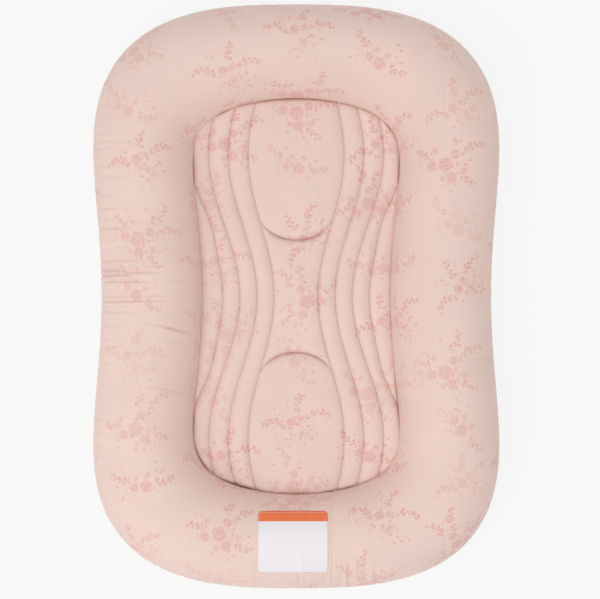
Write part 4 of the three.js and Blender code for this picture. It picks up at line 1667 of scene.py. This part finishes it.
@dataclass
class QuiltedPad:
    """The pad inside the ring: printed top cloth and batting, sewn in wavy channels and two ovals."""

    form: RingForm
    cloth: float = 0.8
    edge_overlap: float = 0.5
    spacing: float = 2.4
    line_spacing: float = 1.8
    line_step: float = 0.5
    rows: tuple[float, ...] = (0.4, 1.0, 2.0, 3.6)
    rise: float = 4.0
    rise_power: int = 4
    channel_depth: float = 6.0
    channel_reach: float = 11.0
    channel_round: float = 0.85
    channel_slope: float = 0.15
    edge_puff: float = 3.0
    tuck_reach: float = 1.6
    tuck_spread: float = 0.75
    # How far in from the pad's edge the painted shade reaches, further where the crease is deep
    crease_shade_reach: float = 0.6
    crease_shade_spread: float = 0.3
    oval_depth: float = 1.9
    oval_reach: float = 2.6
    # Painted shade along the ovals' stitch lines: its strength and reach
    oval_painted_shade: float = 0.3
    oval_painted_shade_reach: float = 1.2
    oval_full: float = 20.0
    oval_steps: int = 721
    stitch_lines: int = 4
    stitch_lift: float = 0.12
    first_at_waist: float = 27.8
    spacing_at_waist: float = 21.6
    first_at_widest: float = 60.7
    spacing_at_widest: float = 25.0
    wave_length: float = 360.0
    oval_centre: float = 112.4
    oval_half_width: float = 50.3
    oval_half_length: float = 41.3
    outer_line_draw: float = 7.0
    outer_line_place: float = 98.0
    outer_line_reach: float = 36.0
    line_clearance: float = 1.6
    batting_depth: float = 3.0
    batting_inset: float = 2.0
    batting_row: float = 2.0
    batting_spacing: float = 6.0
    batting_least: float = 1.0
    batting_at_lines: float = 1.5
    layer_gap: float = 0.4
    bottom: float = 34.0
    run: ClothRun = ClothRun(frames=18, pressure=3.0, growth=0.03, limit=3.0)
    run_held_line: float = 0.3
    run_held_edge: float = 1.0
    run_slack: tuple[float, float] = (0.3, 1.2)
    run_slack_reach: float = 30.0

    def edge(self, inset: float) -> Array:
        """The pad's outline moved inwards, as a closed line."""
        loop = spaced(self.form.pad.loop(), self.line_spacing)
        return beside(np.concatenate([loop[-2:-1], loop, loop[1:2]]), inset)[1:-1]

    def from_edge(self, points: Array) -> Array:
        """Distance of points from the pad's sewn edge."""
        return LineFinder([self.edge(-self.edge_overlap)]).distances(points)

    def line_x(self, line: int, y: Array) -> Array:
        """Distance of a stitch line from the pad's middle.

        Args:
            line: Number of the line, from 1 for the innermost.
            y: Places along the pad.

        Returns:
            The distance at each place.
        """
        at_waist = self.first_at_waist + self.spacing_at_waist * (line - 1)
        at_widest = self.first_at_widest + self.spacing_at_widest * (line - 1)
        share = (1 - np.cos(2 * np.pi * y / self.wave_length)) / 2
        outermost = line == self.stitch_lines
        drawn = bell((np.abs(y) - self.outer_line_place) / self.outer_line_reach) * outermost
        return at_waist + (at_widest - at_waist) * share - self.outer_line_draw * drawn

    def ovals(self) -> list[Array]:
        """The two ovals.

        Returns:
            Points of each, seen from above.
        """
        turn = np.linspace(0, np.pi, self.oval_steps)
        x, y = self.oval_half_width * np.cos(turn), self.oval_centre - self.oval_half_length * np.sin(turn)
        arc = np.stack([x, y], axis=-1)[np.abs(x) < self.line_x(1, y) - self.line_clearance / 2]
        return [spaced(arc, self.line_spacing), spaced(arc * (1, -1), self.line_spacing)]

    def sewn_lines(self) -> list[Array]:
        """The stitch lines and the ovals.

        Returns:
            Points of each, seen from above.
        """
        y = np.arange(-self.form.pad.length / 2, self.form.pad.length / 2, self.line_step)
        found = []
        for line in range(1, self.stitch_lines + 1):
            points = np.stack([self.line_x(line, y), y], axis=-1)
            kept = points[self.form.pad.holds(points)]
            kept = kept[self.from_edge(kept) > self.line_clearance]
            found += [spaced(kept, self.line_spacing), spaced(kept * (-1, 1), self.line_spacing)]
        return found + self.ovals()

    def heights(self, flat: Array, from_line: Array, from_edge: Array) -> Array:
        """Height of the top cloth.

        Args:
            flat: Points seen from above.
            from_line: Distance of each from the nearest stitch line.
            from_edge: Distance of each from the pad's edge.

        Returns:
            The heights.
        """
        along = np.abs(flat[:, 1]) / (self.form.pad.length / 2)
        half_width = self.form.pad.square_width / 2 * self.form.pad.width_share(flat[:, 1])
        across = np.abs(flat[:, 0]) / half_width
        level_across, level_along = (1 - np.clip(share, 0, 1) ** self.rise_power for share in (across, along))
        swell = self.rise * level_across * level_along
        soft = self.form.softness(flat)
        from_seam = from_edge + self.edge_puff + self.channel_reach * soft
        near = np.minimum(from_line, from_seam) / self.channel_reach
        puff = self.channel_depth * (self.channel_round * hump(near) + self.channel_slope * (1 - fade(near)))
        depth = self.form.depth(flat)
        tuck = depth * fade(from_edge / (self.tuck_reach + self.tuck_spread * depth))
        oval = self.oval_depth * self.oval_share(flat, self.oval_reach)
        return self.form.crease_height + swell + puff - tuck - oval

    def oval_share(self, flat: Array, reach: float) -> Array:
        """How near points lie to an oval, from 0 to 1, less where the oval meets the stitch lines."""
        ends = fade((np.abs(flat[:, 0]) - self.oval_full) / (self.oval_half_width - self.oval_full))
        return bell(LineFinder(self.ovals()).distances(flat) / reach) * ends

    def top(self) -> Shell:
        """The top cloth's face, settled over its batting.

        Returns:
            The open mesh.
        """
        lines = self.sewn_lines()
        mesh = triangulate(self.edge(-self.edge_overlap)[:-1], lines, list(self.rows), self.spacing)
        from_line, from_edge = LineFinder(lines).distances(mesh.flat), self.from_edge(mesh.flat)
        points = lifted(mesh.flat, self.heights(mesh.flat, from_line, from_edge))
        sewn = (from_line < self.run_held_line) | (from_edge < self.run_held_edge)
        least, most = self.run_slack
        slack = np.clip(most - from_line / self.run_slack_reach, least, 1)
        points = self.run.settle(points, mesh.faces, np.where(sewn, 1.0, 0.0), slack)
        return Shell(points, mesh.faces, mesh.flat)

    def build(self) -> None:
        """Make the top cloth with painted shade in its crease, its stitches, the batting and the backing
        cloth.
        """
        top = self.top()
        normals = triangle_normals(top.points, top.faces)
        shell = thick_triangles(top.points, top.faces, top.points - normals * self.cloth, top.flat)
        piece = add_piece("quilted_top", shell, PRINTED, "quilt_top_cloth")
        # Painted shade: darker, warmer colour along the pad's edge where the crease is deep, and a little
        # along the ovals' stitch lines
        depth = self.form.depth(top.flat)
        inwards = self.from_edge(top.flat) / (self.crease_shade_reach + self.crease_shade_spread * depth)
        folds = self.form.crease_shade_share(depth) * bell(inwards)
        oval = self.oval_painted_shade * self.oval_share(top.flat, self.oval_painted_shade_reach)
        PRINT.put_on(piece, shell, np.tile(np.maximum(folds, oval), 2))
        self.build_stitches()
        self.build_batting()

    def build_stitches(self) -> None:
        """Lay the quilting stitches at the bottom of the channels."""
        rows = []
        for line in self.sewn_lines():
            height = self.heights(line, np.zeros(len(line)), self.from_edge(line)) + self.stitch_lift
            rows.append(Stitch().row(lifted(line, height), UP))
        add_piece("quilting_stitches", rows[0].joined(*rows[1:]), COVER_THREAD)

    def build_batting(self) -> None:
        """Make the batting under the top cloth and the cloth under the batting."""
        border = self.edge(self.batting_inset)[:-1:3]
        mesh = triangulate(border, [], [self.batting_row], self.batting_spacing)
        from_line = LineFinder(self.sewn_lines()).distances(mesh.flat)
        from_line = np.maximum(from_line - self.batting_at_lines, 0)
        height = self.heights(mesh.flat, from_line, self.from_edge(mesh.flat)) - self.batting_depth
        low = self.bottom + self.cloth + self.layer_gap
        batting = flat_layer(mesh, np.maximum(height, low + self.batting_least), low)
        add_piece("batting", batting, FILL, "quilt_batting")
        backing = flat_layer(mesh, self.bottom + self.cloth, self.bottom)
        add_sheet("backing_cloth", backing, PLAIN, "quilt_backing_cloth")


@dataclass
class SewnPatch:
    """The satin patch on the foot end of the ring, white below a plain orange band."""

    cover: BVHTree
    width: float = 86.0
    height: float = 74.0
    corner: float = 5.0
    least_corner: float = 0.5
    corner_steps: int = 6
    band: float = 11.6
    centre_x: float = -4.0
    centre_y: float = -303.5
    thickness: float = 0.5
    gap: float = 0.25
    spacing: float = 3.0
    outline_spacing: float = 1.5
    outline_row: float = 1.2
    stitch_inset: float = 1.8
    stitch_lift: float = 0.1
    fold_x: float = 5.5
    fold_y: float = -332.0
    fold_height: float = 1.5
    fold_width: float = 2.8
    fold_length: float = 14.0
    look_from: float = 400.0

    def outline(self, inset: float) -> Array:
        """The patch's outline moved inwards.

        Args:
            inset: How far.

        Returns:
            A closed line, counterclockwise.
        """
        half = np.array([self.width / 2 - inset, self.height / 2 - inset])
        radius = max(self.corner - inset, self.least_corner)
        turn = np.linspace(0, np.pi / 2, self.corner_steps)
        quarter = half - radius + radius * np.stack([np.cos(turn), np.sin(turn)], axis=-1)
        back = quarter[::-1] * (-1, 1)
        loop = np.concatenate([quarter, back, -quarter, -back, quarter[:1]])
        return spaced(loop, self.outline_spacing) + (self.centre_x, self.centre_y)

    def laid(self, flat: Array, lift: float) -> tuple[Array, Array]:
        """Points of the patch on the cover, and the directions away from it.

        Args:
            flat: Points seen from above.
            lift: Height above the cover.

        Returns:
            The points and the directions.
        """
        down = Vector((0, 0, -1))
        hits = [self.cover.ray_cast(Vector((x, y, self.look_from)), down) for x, y in flat.tolist()]
        places = np.array([tuple(hit[0]) for hit in hits])
        normals = np.array([tuple(hit[1]) for hit in hits])
        normals *= np.sign(normals[:, 2:3])
        return places + normals * lift, normals

    def build(self) -> None:
        """Make the patch and the stitches round it."""
        mesh = triangulate(self.outline(0.0)[:-1], [], [self.outline_row], self.spacing)
        under, normals = self.laid(mesh.flat, self.gap)
        across, along = (mesh.flat - (self.fold_x, self.fold_y)).T
        ridge = bell(across / self.fold_width) * bell(along / self.fold_length)
        over = under + normals * (self.thickness + self.fold_height * ridge[:, None])
        local = mesh.flat - (self.centre_x, self.centre_y)
        shell = thick_triangles(over, mesh.faces, under, local)
        satin = SatinPatch("woven_satin_patch", "label_satin", "#e7e2e6", 0.45, sheen=0.1,
                           band_edge=self.height / 2 - self.band)
        add_sheet("sewn_patch", shell, satin, "label_patch")
        lift = self.gap + self.thickness + self.stitch_lift
        line, normals = self.laid(self.outline(self.stitch_inset), lift)
        stitches = Stitch(length=2.2, gap=0.8, radius=0.2).row(line, normals[0])
        add_piece("patch_stitches", stitches, WHITE_THREAD)


@dataclass
class Underside:
    """The base of the cover in two panels, with the slot for the zip between them."""

    form: RingForm
    cloth: float = 0.8
    lift: float = 9.0
    seam_gap: float = 0.2
    slot_half: float = 6.5
    slot_end: float = 226.5
    slot_round: float = 5.0
    stations_round: int = 300
    roll_steps: int = 16
    close_rolls: tuple[float, ...] = (0.004, 0.012, 0.03)
    rise_steps: int = 10
    inner_steps: int = 28
    seam_pinch: float = 1.5
    seam_reach: float = 3.0
    stitch_inset: float = 2.4
    stitch_lift: float = 0.1
    stitch_line_step: float = 4.0
    billow: float = 0.9
    billow_from_slot: tuple[float, float] = (26.0, 30.0)
    billow_from_foot: tuple[float, float] = (2.0, 7.0)
    billow_waves: tuple[float, ...] = (31.0, 47.0, 23.0, 59.0)

    def half(self, side: Side, inset: float, lift: float, slot: bool) -> tuple[Array, Array]:
        """One half of a cloth that runs under the ring and across the middle.

        Args:
            side: Which half.
            inset: Depth above the cover's outer face.
            lift: Height inside the ring.
            slot: Whether the slot for the zip is left open.

        Returns:
            Points and flat places, one row for each station.
        """
        stations = self.form.stations(np.linspace(-0.25, 0.25, self.stations_round + 1))
        roll = np.unique(np.append(np.linspace(0, 1, self.roll_steps + 1), self.close_rolls))
        rise = np.linspace(0, 1, self.rise_steps + 1)
        outer = self.form.lower(stations, roll, rise, inset, lift)
        end = self.form.pad.length / 2
        y = np.linspace(-end, end, self.stations_round + 1)
        x = np.full_like(y, self.seam_gap)
        if slot:
            into = np.clip((self.slot_end - np.abs(y)) / self.slot_round, 0, 1)
            x = self.seam_gap + (self.slot_half - self.seam_gap) * hump(into)
        target = np.stack([x, y], axis=-1)
        share = np.linspace(0, 1, self.inner_steps + 1)[1:, None, None]
        inner = lifted(outer[:, -1, :2] * (1 - share) + target * share, lift)
        grid = np.concatenate([outer, np.swapaxes(inner, 0, 1)], axis=1)
        grid[:, :, 0] = np.maximum(grid[:, :, 0], self.seam_gap)
        arc = lengths_along(grid)
        pinch = self.seam_pinch * fade(arc / self.seam_reach)
        grid = grid - lifted(stations.outward, 0.0)[:, None] * pinch[..., None]
        if inset == 0:
            grid = self.billowed(grid)
        crease = len(roll) + len(rise) - 1
        beyond = (arc[:, crease:crease + 1] - arc)[..., None]
        flat = grid[:, crease:crease + 1, :2] + stations.outward[:, None] * beyond
        flat[:, crease:] = grid[:, crease:, :2]
        if side is Side.LEFT:
            grid, flat = grid[::-1] * (-1, 1, 1), flat[::-1] * (-1, 1)
        return grid, flat

    def billowed(self, grid: Array) -> Array:
        """Let the middle of the panel billow a little.

        Args:
            grid: Points of the half.

        Returns:
            The changed points.
        """
        x, y, height = grid[..., 0], grid[..., 1], grid[..., 2]
        start, spread = self.billow_from_slot
        from_slot = np.clip((x - start) / spread, 0, 1)
        start, spread = self.billow_from_foot
        inside = np.clip((height - start) / spread, 0, 1) * from_slot
        first, second, third, fourth = self.billow_waves
        wave = np.sin(y / first + x / second) * np.sin(x / third - y / fourth)
        grid[..., 2] += self.billow * inside * wave
        return grid

    def build(self) -> None:
        """Make the two base panels with their stitches along the slot."""
        rows = []
        for side in Side:
            grid, flat = self.half(side, 0.0, self.lift, True)
            name = f"base_panel_{side.name.lower()}"
            add_sheet(f"{name}_cloth", thick_grid(grid, self.cloth, False, flat), PLAIN, name)
            x = side.value * (self.slot_half + self.stitch_inset)
            end, level = self.slot_end - self.slot_round, self.lift - self.stitch_lift
            line = np.array([[x, -end, level], [x, end, level]])
            rows.append(Stitch().row(spaced(line, self.stitch_line_step), -UP))
        add_piece("slot_stitches", rows[0].joined(rows[1]), COVER_THREAD)


@dataclass
class Zip:
    """The zip along the middle of the base: two tapes with their coils, stops, slider and pull."""

    filament: float = 0.28
    pitch: float = 1.3
    steps: int = 8
    sides: int = 5
    inner_reach: float = 0.3
    tape_edge: float = 0.25
    tape_margin: float = 3.0
    tape_drop: float = 0.6
    tape_share: float = 0.8
    tape_rows: int = 60
    bevel: float = 0.12
    bevel_angle: float = math.radians(35)

    def node_box(self, node: str) -> tuple[Array, Array]:
        """Lowest and highest corner of a CAD node, in millimetres."""
        low, high = (np.array(corner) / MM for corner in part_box(node))
        return low, high

    def tape(self, node: str) -> None:
        """Make one woven tape.

        Args:
            node: The CAD node that it replaces.
        """
        low, high = self.node_box(node)
        edge, margin = self.tape_edge, self.tape_margin
        middle = np.linspace(low[0] + margin, high[0] - margin, 4)
        x = np.array([low[0], low[0] + edge, *middle, high[0] - edge, high[0]])
        drop = np.array([edge, 0, 0, 0, 0, 0, 0, edge]) * self.tape_drop
        x, y = np.broadcast_arrays(x[None, :], np.linspace(low[1], high[1], self.tape_rows)[:, None])
        flat = np.stack([x, y], axis=-1)
        shell = thick_grid(lifted(flat, high[2] - drop), -(high[2] - low[2]) * self.tape_share, False, flat)
        add_piece(f"{node}_weave", shell, TAPE, node)

    def coil(self, node: str, sign: int) -> None:
        """Wind one nylon coil.

        Args:
            node: The CAD node that it replaces.
            sign: The sign of x on its side.
        """
        low, high = self.node_box(node)
        inner, outer = min(abs(low[0]), abs(high[0])) - self.inner_reach, max(abs(low[0]), abs(high[0]))
        turns = (high[1] - low[1] - 2 * self.filament) / self.pitch
        steps = np.arange(round(turns * self.steps) + 1)
        angle = 2 * np.pi * steps / self.steps
        half_width, half_height = (outer - inner) / 2 - self.filament, (high[2] - low[2]) / 2 - self.filament
        path = np.stack([
            sign * (inner + outer) / 2 + half_width * np.cos(angle),
            low[1] + self.filament + self.pitch * steps / self.steps,
            (low[2] + high[2]) / 2 + half_height * np.sin(angle)], axis=-1)
        ahead = unit(np.gradient(path, axis=0))
        side = unit(np.cross(ahead, [0.0, 1.0, 0.0]))
        up = np.cross(ahead, side)
        turn = 2 * np.pi * np.arange(self.sides) / self.sides
        ring = side[:, None] * np.cos(turn)[None, :, None] + up[:, None] * np.sin(turn)[None, :, None]
        points = path[:, None] + ring * self.filament
        shell = Shell(points.reshape(-1, 3), grid_faces(len(path), self.sides, False, True))
        add_piece(f"{node}_loops", shell.outward(), COIL, node)

    def metal(self, node: str) -> None:
        """Soften the edges of a CAD metal part and plate it.

        Args:
            node: The CAD node that is kept.
        """
        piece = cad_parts[node]
        bevel = piece.modifiers.new("soft_edges", "BEVEL")
        bevel.width = self.bevel * MM
        bevel.segments = 2
        bevel.limit_method = "ANGLE"
        bevel.angle_limit = self.bevel_angle
        METAL.dress(piece)

    def build(self) -> None:
        """Make every piece of the zip."""
        for side in Side:
            name = side.name.lower()
            self.tape(f"zip_tape_{name}")
            self.coil(f"zip_coil_{name}", side.value)
            self.metal(f"zip_top_stop_{name}")
        for node in ("zip_bottom_stop", "zip_slider", "zip_pull"):
            self.metal(node)


@dataclass
class Insert:
    """The stuffed insert inside the cover, in its own lining."""

    form: RingForm
    underside: Underside
    cloth: float = 0.8
    depth: float = 3.2
    wall_heights: tuple[float, ...] = (34.0, 24.0, 14.4)
    ring_gap: float = 0.8
    ring_lift: float = 2.0
    lump: float = 0.5
    lump_waves: tuple[float, float, float] = (9.0, 5.0, 11.0)
    centre_top: float = 33.4
    centre_inset: float = 3.0
    centre_spacing: float = 8.0
    centre_gap: float = 0.4
    rounding: float = 2.5
    rounding_reach: float = 6.0
    base_inset: float = 1.3
    base_lift: float = 12.8
    stations_round: int = 200
    steps_across: int = 28
    roll_steps: int = 8
    rise_steps: int = 6

    def build(self) -> None:
        """Make the lining and the filling, first of the ring and then of the middle."""
        stations = self.form.even_stations(self.stations_round)
        shares = np.linspace(0, 1, self.steps_across + 1)
        wall = -(stations.half - self.depth)[:, None] * np.ones(len(self.wall_heights))
        foot = stations.place(wall, np.array(self.wall_heights))
        top = np.concatenate([self.form.upper(stations, shares, self.depth), foot], axis=1)
        lining = thick_grid(top, -self.cloth, True, top[..., :2])
        add_piece("insert_ring_lining", lining, LINING, "insert_ring_top")
        inset = self.depth + self.cloth + self.ring_gap
        over = self.form.upper(stations, shares, inset)
        roll, rise = np.linspace(0, 1, self.roll_steps)[1:], np.linspace(0, 1, self.rise_steps)[:-1]
        lift = self.wall_heights[-1] + self.ring_lift
        under = self.form.lower(stations, roll, rise, inset, lift)[:, ::-1]
        loops = np.concatenate([over, under], axis=1)
        across, upward, along = self.lump_waves
        lumps = np.sin(loops[..., 0] / across + loops[..., 2] / upward) * np.sin(loops[..., 1] / along)
        loops[..., 2] -= np.abs(self.lump * lumps)
        fill = Shell(loops.reshape(-1, 3), grid_faces(*loops.shape[:2], True, True)).outward()
        add_piece("insert_ring_fibre", fill, FILL, "insert_ring_fill")
        self.build_middle()
        self.build_base()

    def build_middle(self) -> None:
        """Make the lining and the filling under the pad."""
        edge = QuiltedPad(self.form).edge(self.centre_inset)
        mesh = triangulate(edge[:-1:3], [], [self.centre_inset], self.centre_spacing)
        bottom = self.centre_top - self.cloth
        sheet = flat_layer(mesh, self.centre_top, bottom)
        add_sheet("insert_middle_lining", sheet, LINING, "insert_centre_top")
        from_edge = LineFinder([edge]).distances(mesh.flat)
        rounding = self.rounding * (1 - hump(from_edge / self.rounding_reach))
        low, high = self.wall_heights[-1] + self.centre_gap, bottom - self.centre_gap
        fill = flat_layer(mesh, high - rounding, low + rounding)
        add_piece("insert_middle_fibre", fill, FILL, "insert_centre_fill")

    def build_base(self) -> None:
        """Make the insert's base cloth from two halves sewn along the middle."""
        halves = []
        for side in Side:
            grid, flat = self.underside.half(side, self.base_inset, self.base_lift, False)
            halves.append(thick_grid(grid, self.cloth, False, flat))
        sheet = halves[0].joined(halves[1])
        add_sheet("insert_base_lining", sheet, LINING, "insert_base")


@dataclass
class Studio:
    """A pale floor, soft light from the foot end's left and a camera straight above."""

    form: RingForm
    scale: float = 1.2652
    image_width: int = 600
    image_height: int = 599
    centre_px: tuple[float, float] = (296.3, 296.3)
    lens: float = 100.0
    sensor: float = 36.0
    outline_height: float = 45.0
    floor_reach: float = 4500.0
    floor_steps: int = 200
    floor_cover: float = 4.0
    floor_colour: str = "#f9f9f9"
    floor_plain: float = 0.86
    sky_colour: str = "#ffffff"
    sky_strength: float = 0.66
    lamps: tuple[tuple, ...] = (("key", (-1.3, -1.3, 2.1), 1.6, 20.0), ("fill", (0.05, 0.15, 2.7), 2.4, 17.0))

    def camera(self) -> None:
        """Look straight down, with the object where the image has it."""
        data = bpy.data.cameras.new("camera")
        data.lens, data.sensor_width = self.lens, self.sensor
        distance = self.image_width * self.scale * self.lens / self.sensor
        x = (self.image_width / 2 - self.centre_px[0]) * self.scale
        y = (self.centre_px[1] - self.image_height / 2) * self.scale
        camera = add_object("camera", data)
        camera.location = Vector((x, y, distance + self.outline_height)) * MM
        bpy.context.scene.camera = camera

    def pale_for_camera(self, add: AddNode, shader: Node, share: float) -> Node:
        """Mix a shader with the floor's plain colour where the camera, a mirror or glass sees it.

        Args:
            add: Adds a node to the material or the world.
            shader: The shader that lights the object.
            share: Share of the plain colour.

        Returns:
            The mixed shader.
        """
        path = add("LightPath").outputs
        seen = add("Math.MAXIMUM", path["Is Camera Ray"], path["Is Glossy Ray"])
        seen = add("Math.MAXIMUM", seen, path["Is Transmission Ray"])
        plain = add("Emission", linear(self.floor_colour), 1.0)
        return add("MixShader", add("Math.MULTIPLY", seen, share), shader, plain)

    def floor(self) -> None:
        """Lay a round floor, open under the ring's flat foot and clear from beneath, to show the base."""
        stations = self.form.even_stations(self.floor_steps)
        hole = stations.centre + stations.outward * (self.form.foot_width / 2 - self.floor_cover)
        points = lifted(np.stack([hole, unit(hole) * self.floor_reach], axis=1), 0.0).reshape(-1, 3)
        mesh = bpy.data.meshes.new("floor")
        mesh.from_pydata((points * MM).tolist(), [], grid_faces(self.floor_steps, 2, True).tolist())
        material = bpy.data.materials.new("painted_floor")
        add = partial(add_node, empty_tree(material))
        paint = add("BsdfDiffuse", linear(self.floor_colour))
        from_above = self.pale_for_camera(add, paint, self.floor_plain)
        beneath = add("NewGeometry").outputs["Backfacing"]
        add("OutputMaterial", add("MixShader", beneath, from_above, add("BsdfTransparent")))
        mesh.materials.append(material)
        add_object("floor", mesh)

    def light(self, name: str, place: tuple[float, ...], size: float, power: float) -> None:
        """Hang a square soft light that faces the object.

        Args:
            name: Name of the light.
            place: Its place, in metres.
            size: Its side, in metres.
            power: Its power, in watts.
        """
        data = bpy.data.lights.new(name, "AREA")
        data.shape, data.size, data.energy = "SQUARE", size, power
        lamp = add_object(name, data)
        lamp.location = place
        lamp.rotation_euler = (-Vector(place)).to_track_quat("-Z", "Y").to_euler()

    def build(self) -> None:
        """Make the camera, floor, lights and world."""
        self.camera()
        self.floor()
        for name, place, size, power in self.lamps:
            self.light(name, place, size, power)
        world = bpy.data.worlds.new("studio")
        add = partial(add_node, empty_tree(world))
        sky = add("Background", linear(self.sky_colour), self.sky_strength)
        add("OutputWorld", self.pale_for_camera(add, sky, 1.0))
        bpy.context.scene.world = world
        bpy.context.scene.view_settings.view_transform = "Standard"


def main() -> None:
    """Build the studio and the lounger piece by piece."""
    logging.basicConfig(level=logging.INFO, format="%(name)s: %(message)s")
    form = RingForm()
    Studio(form).build()
    cover = BolsterCover(form).build()
    QuiltedPad(form).build()
    SewnPatch(cover).build()
    underside = Underside(form)
    underside.build()
    Zip().build()
    Insert(form, underside).build()


if __name__ == "__main__":
    main()
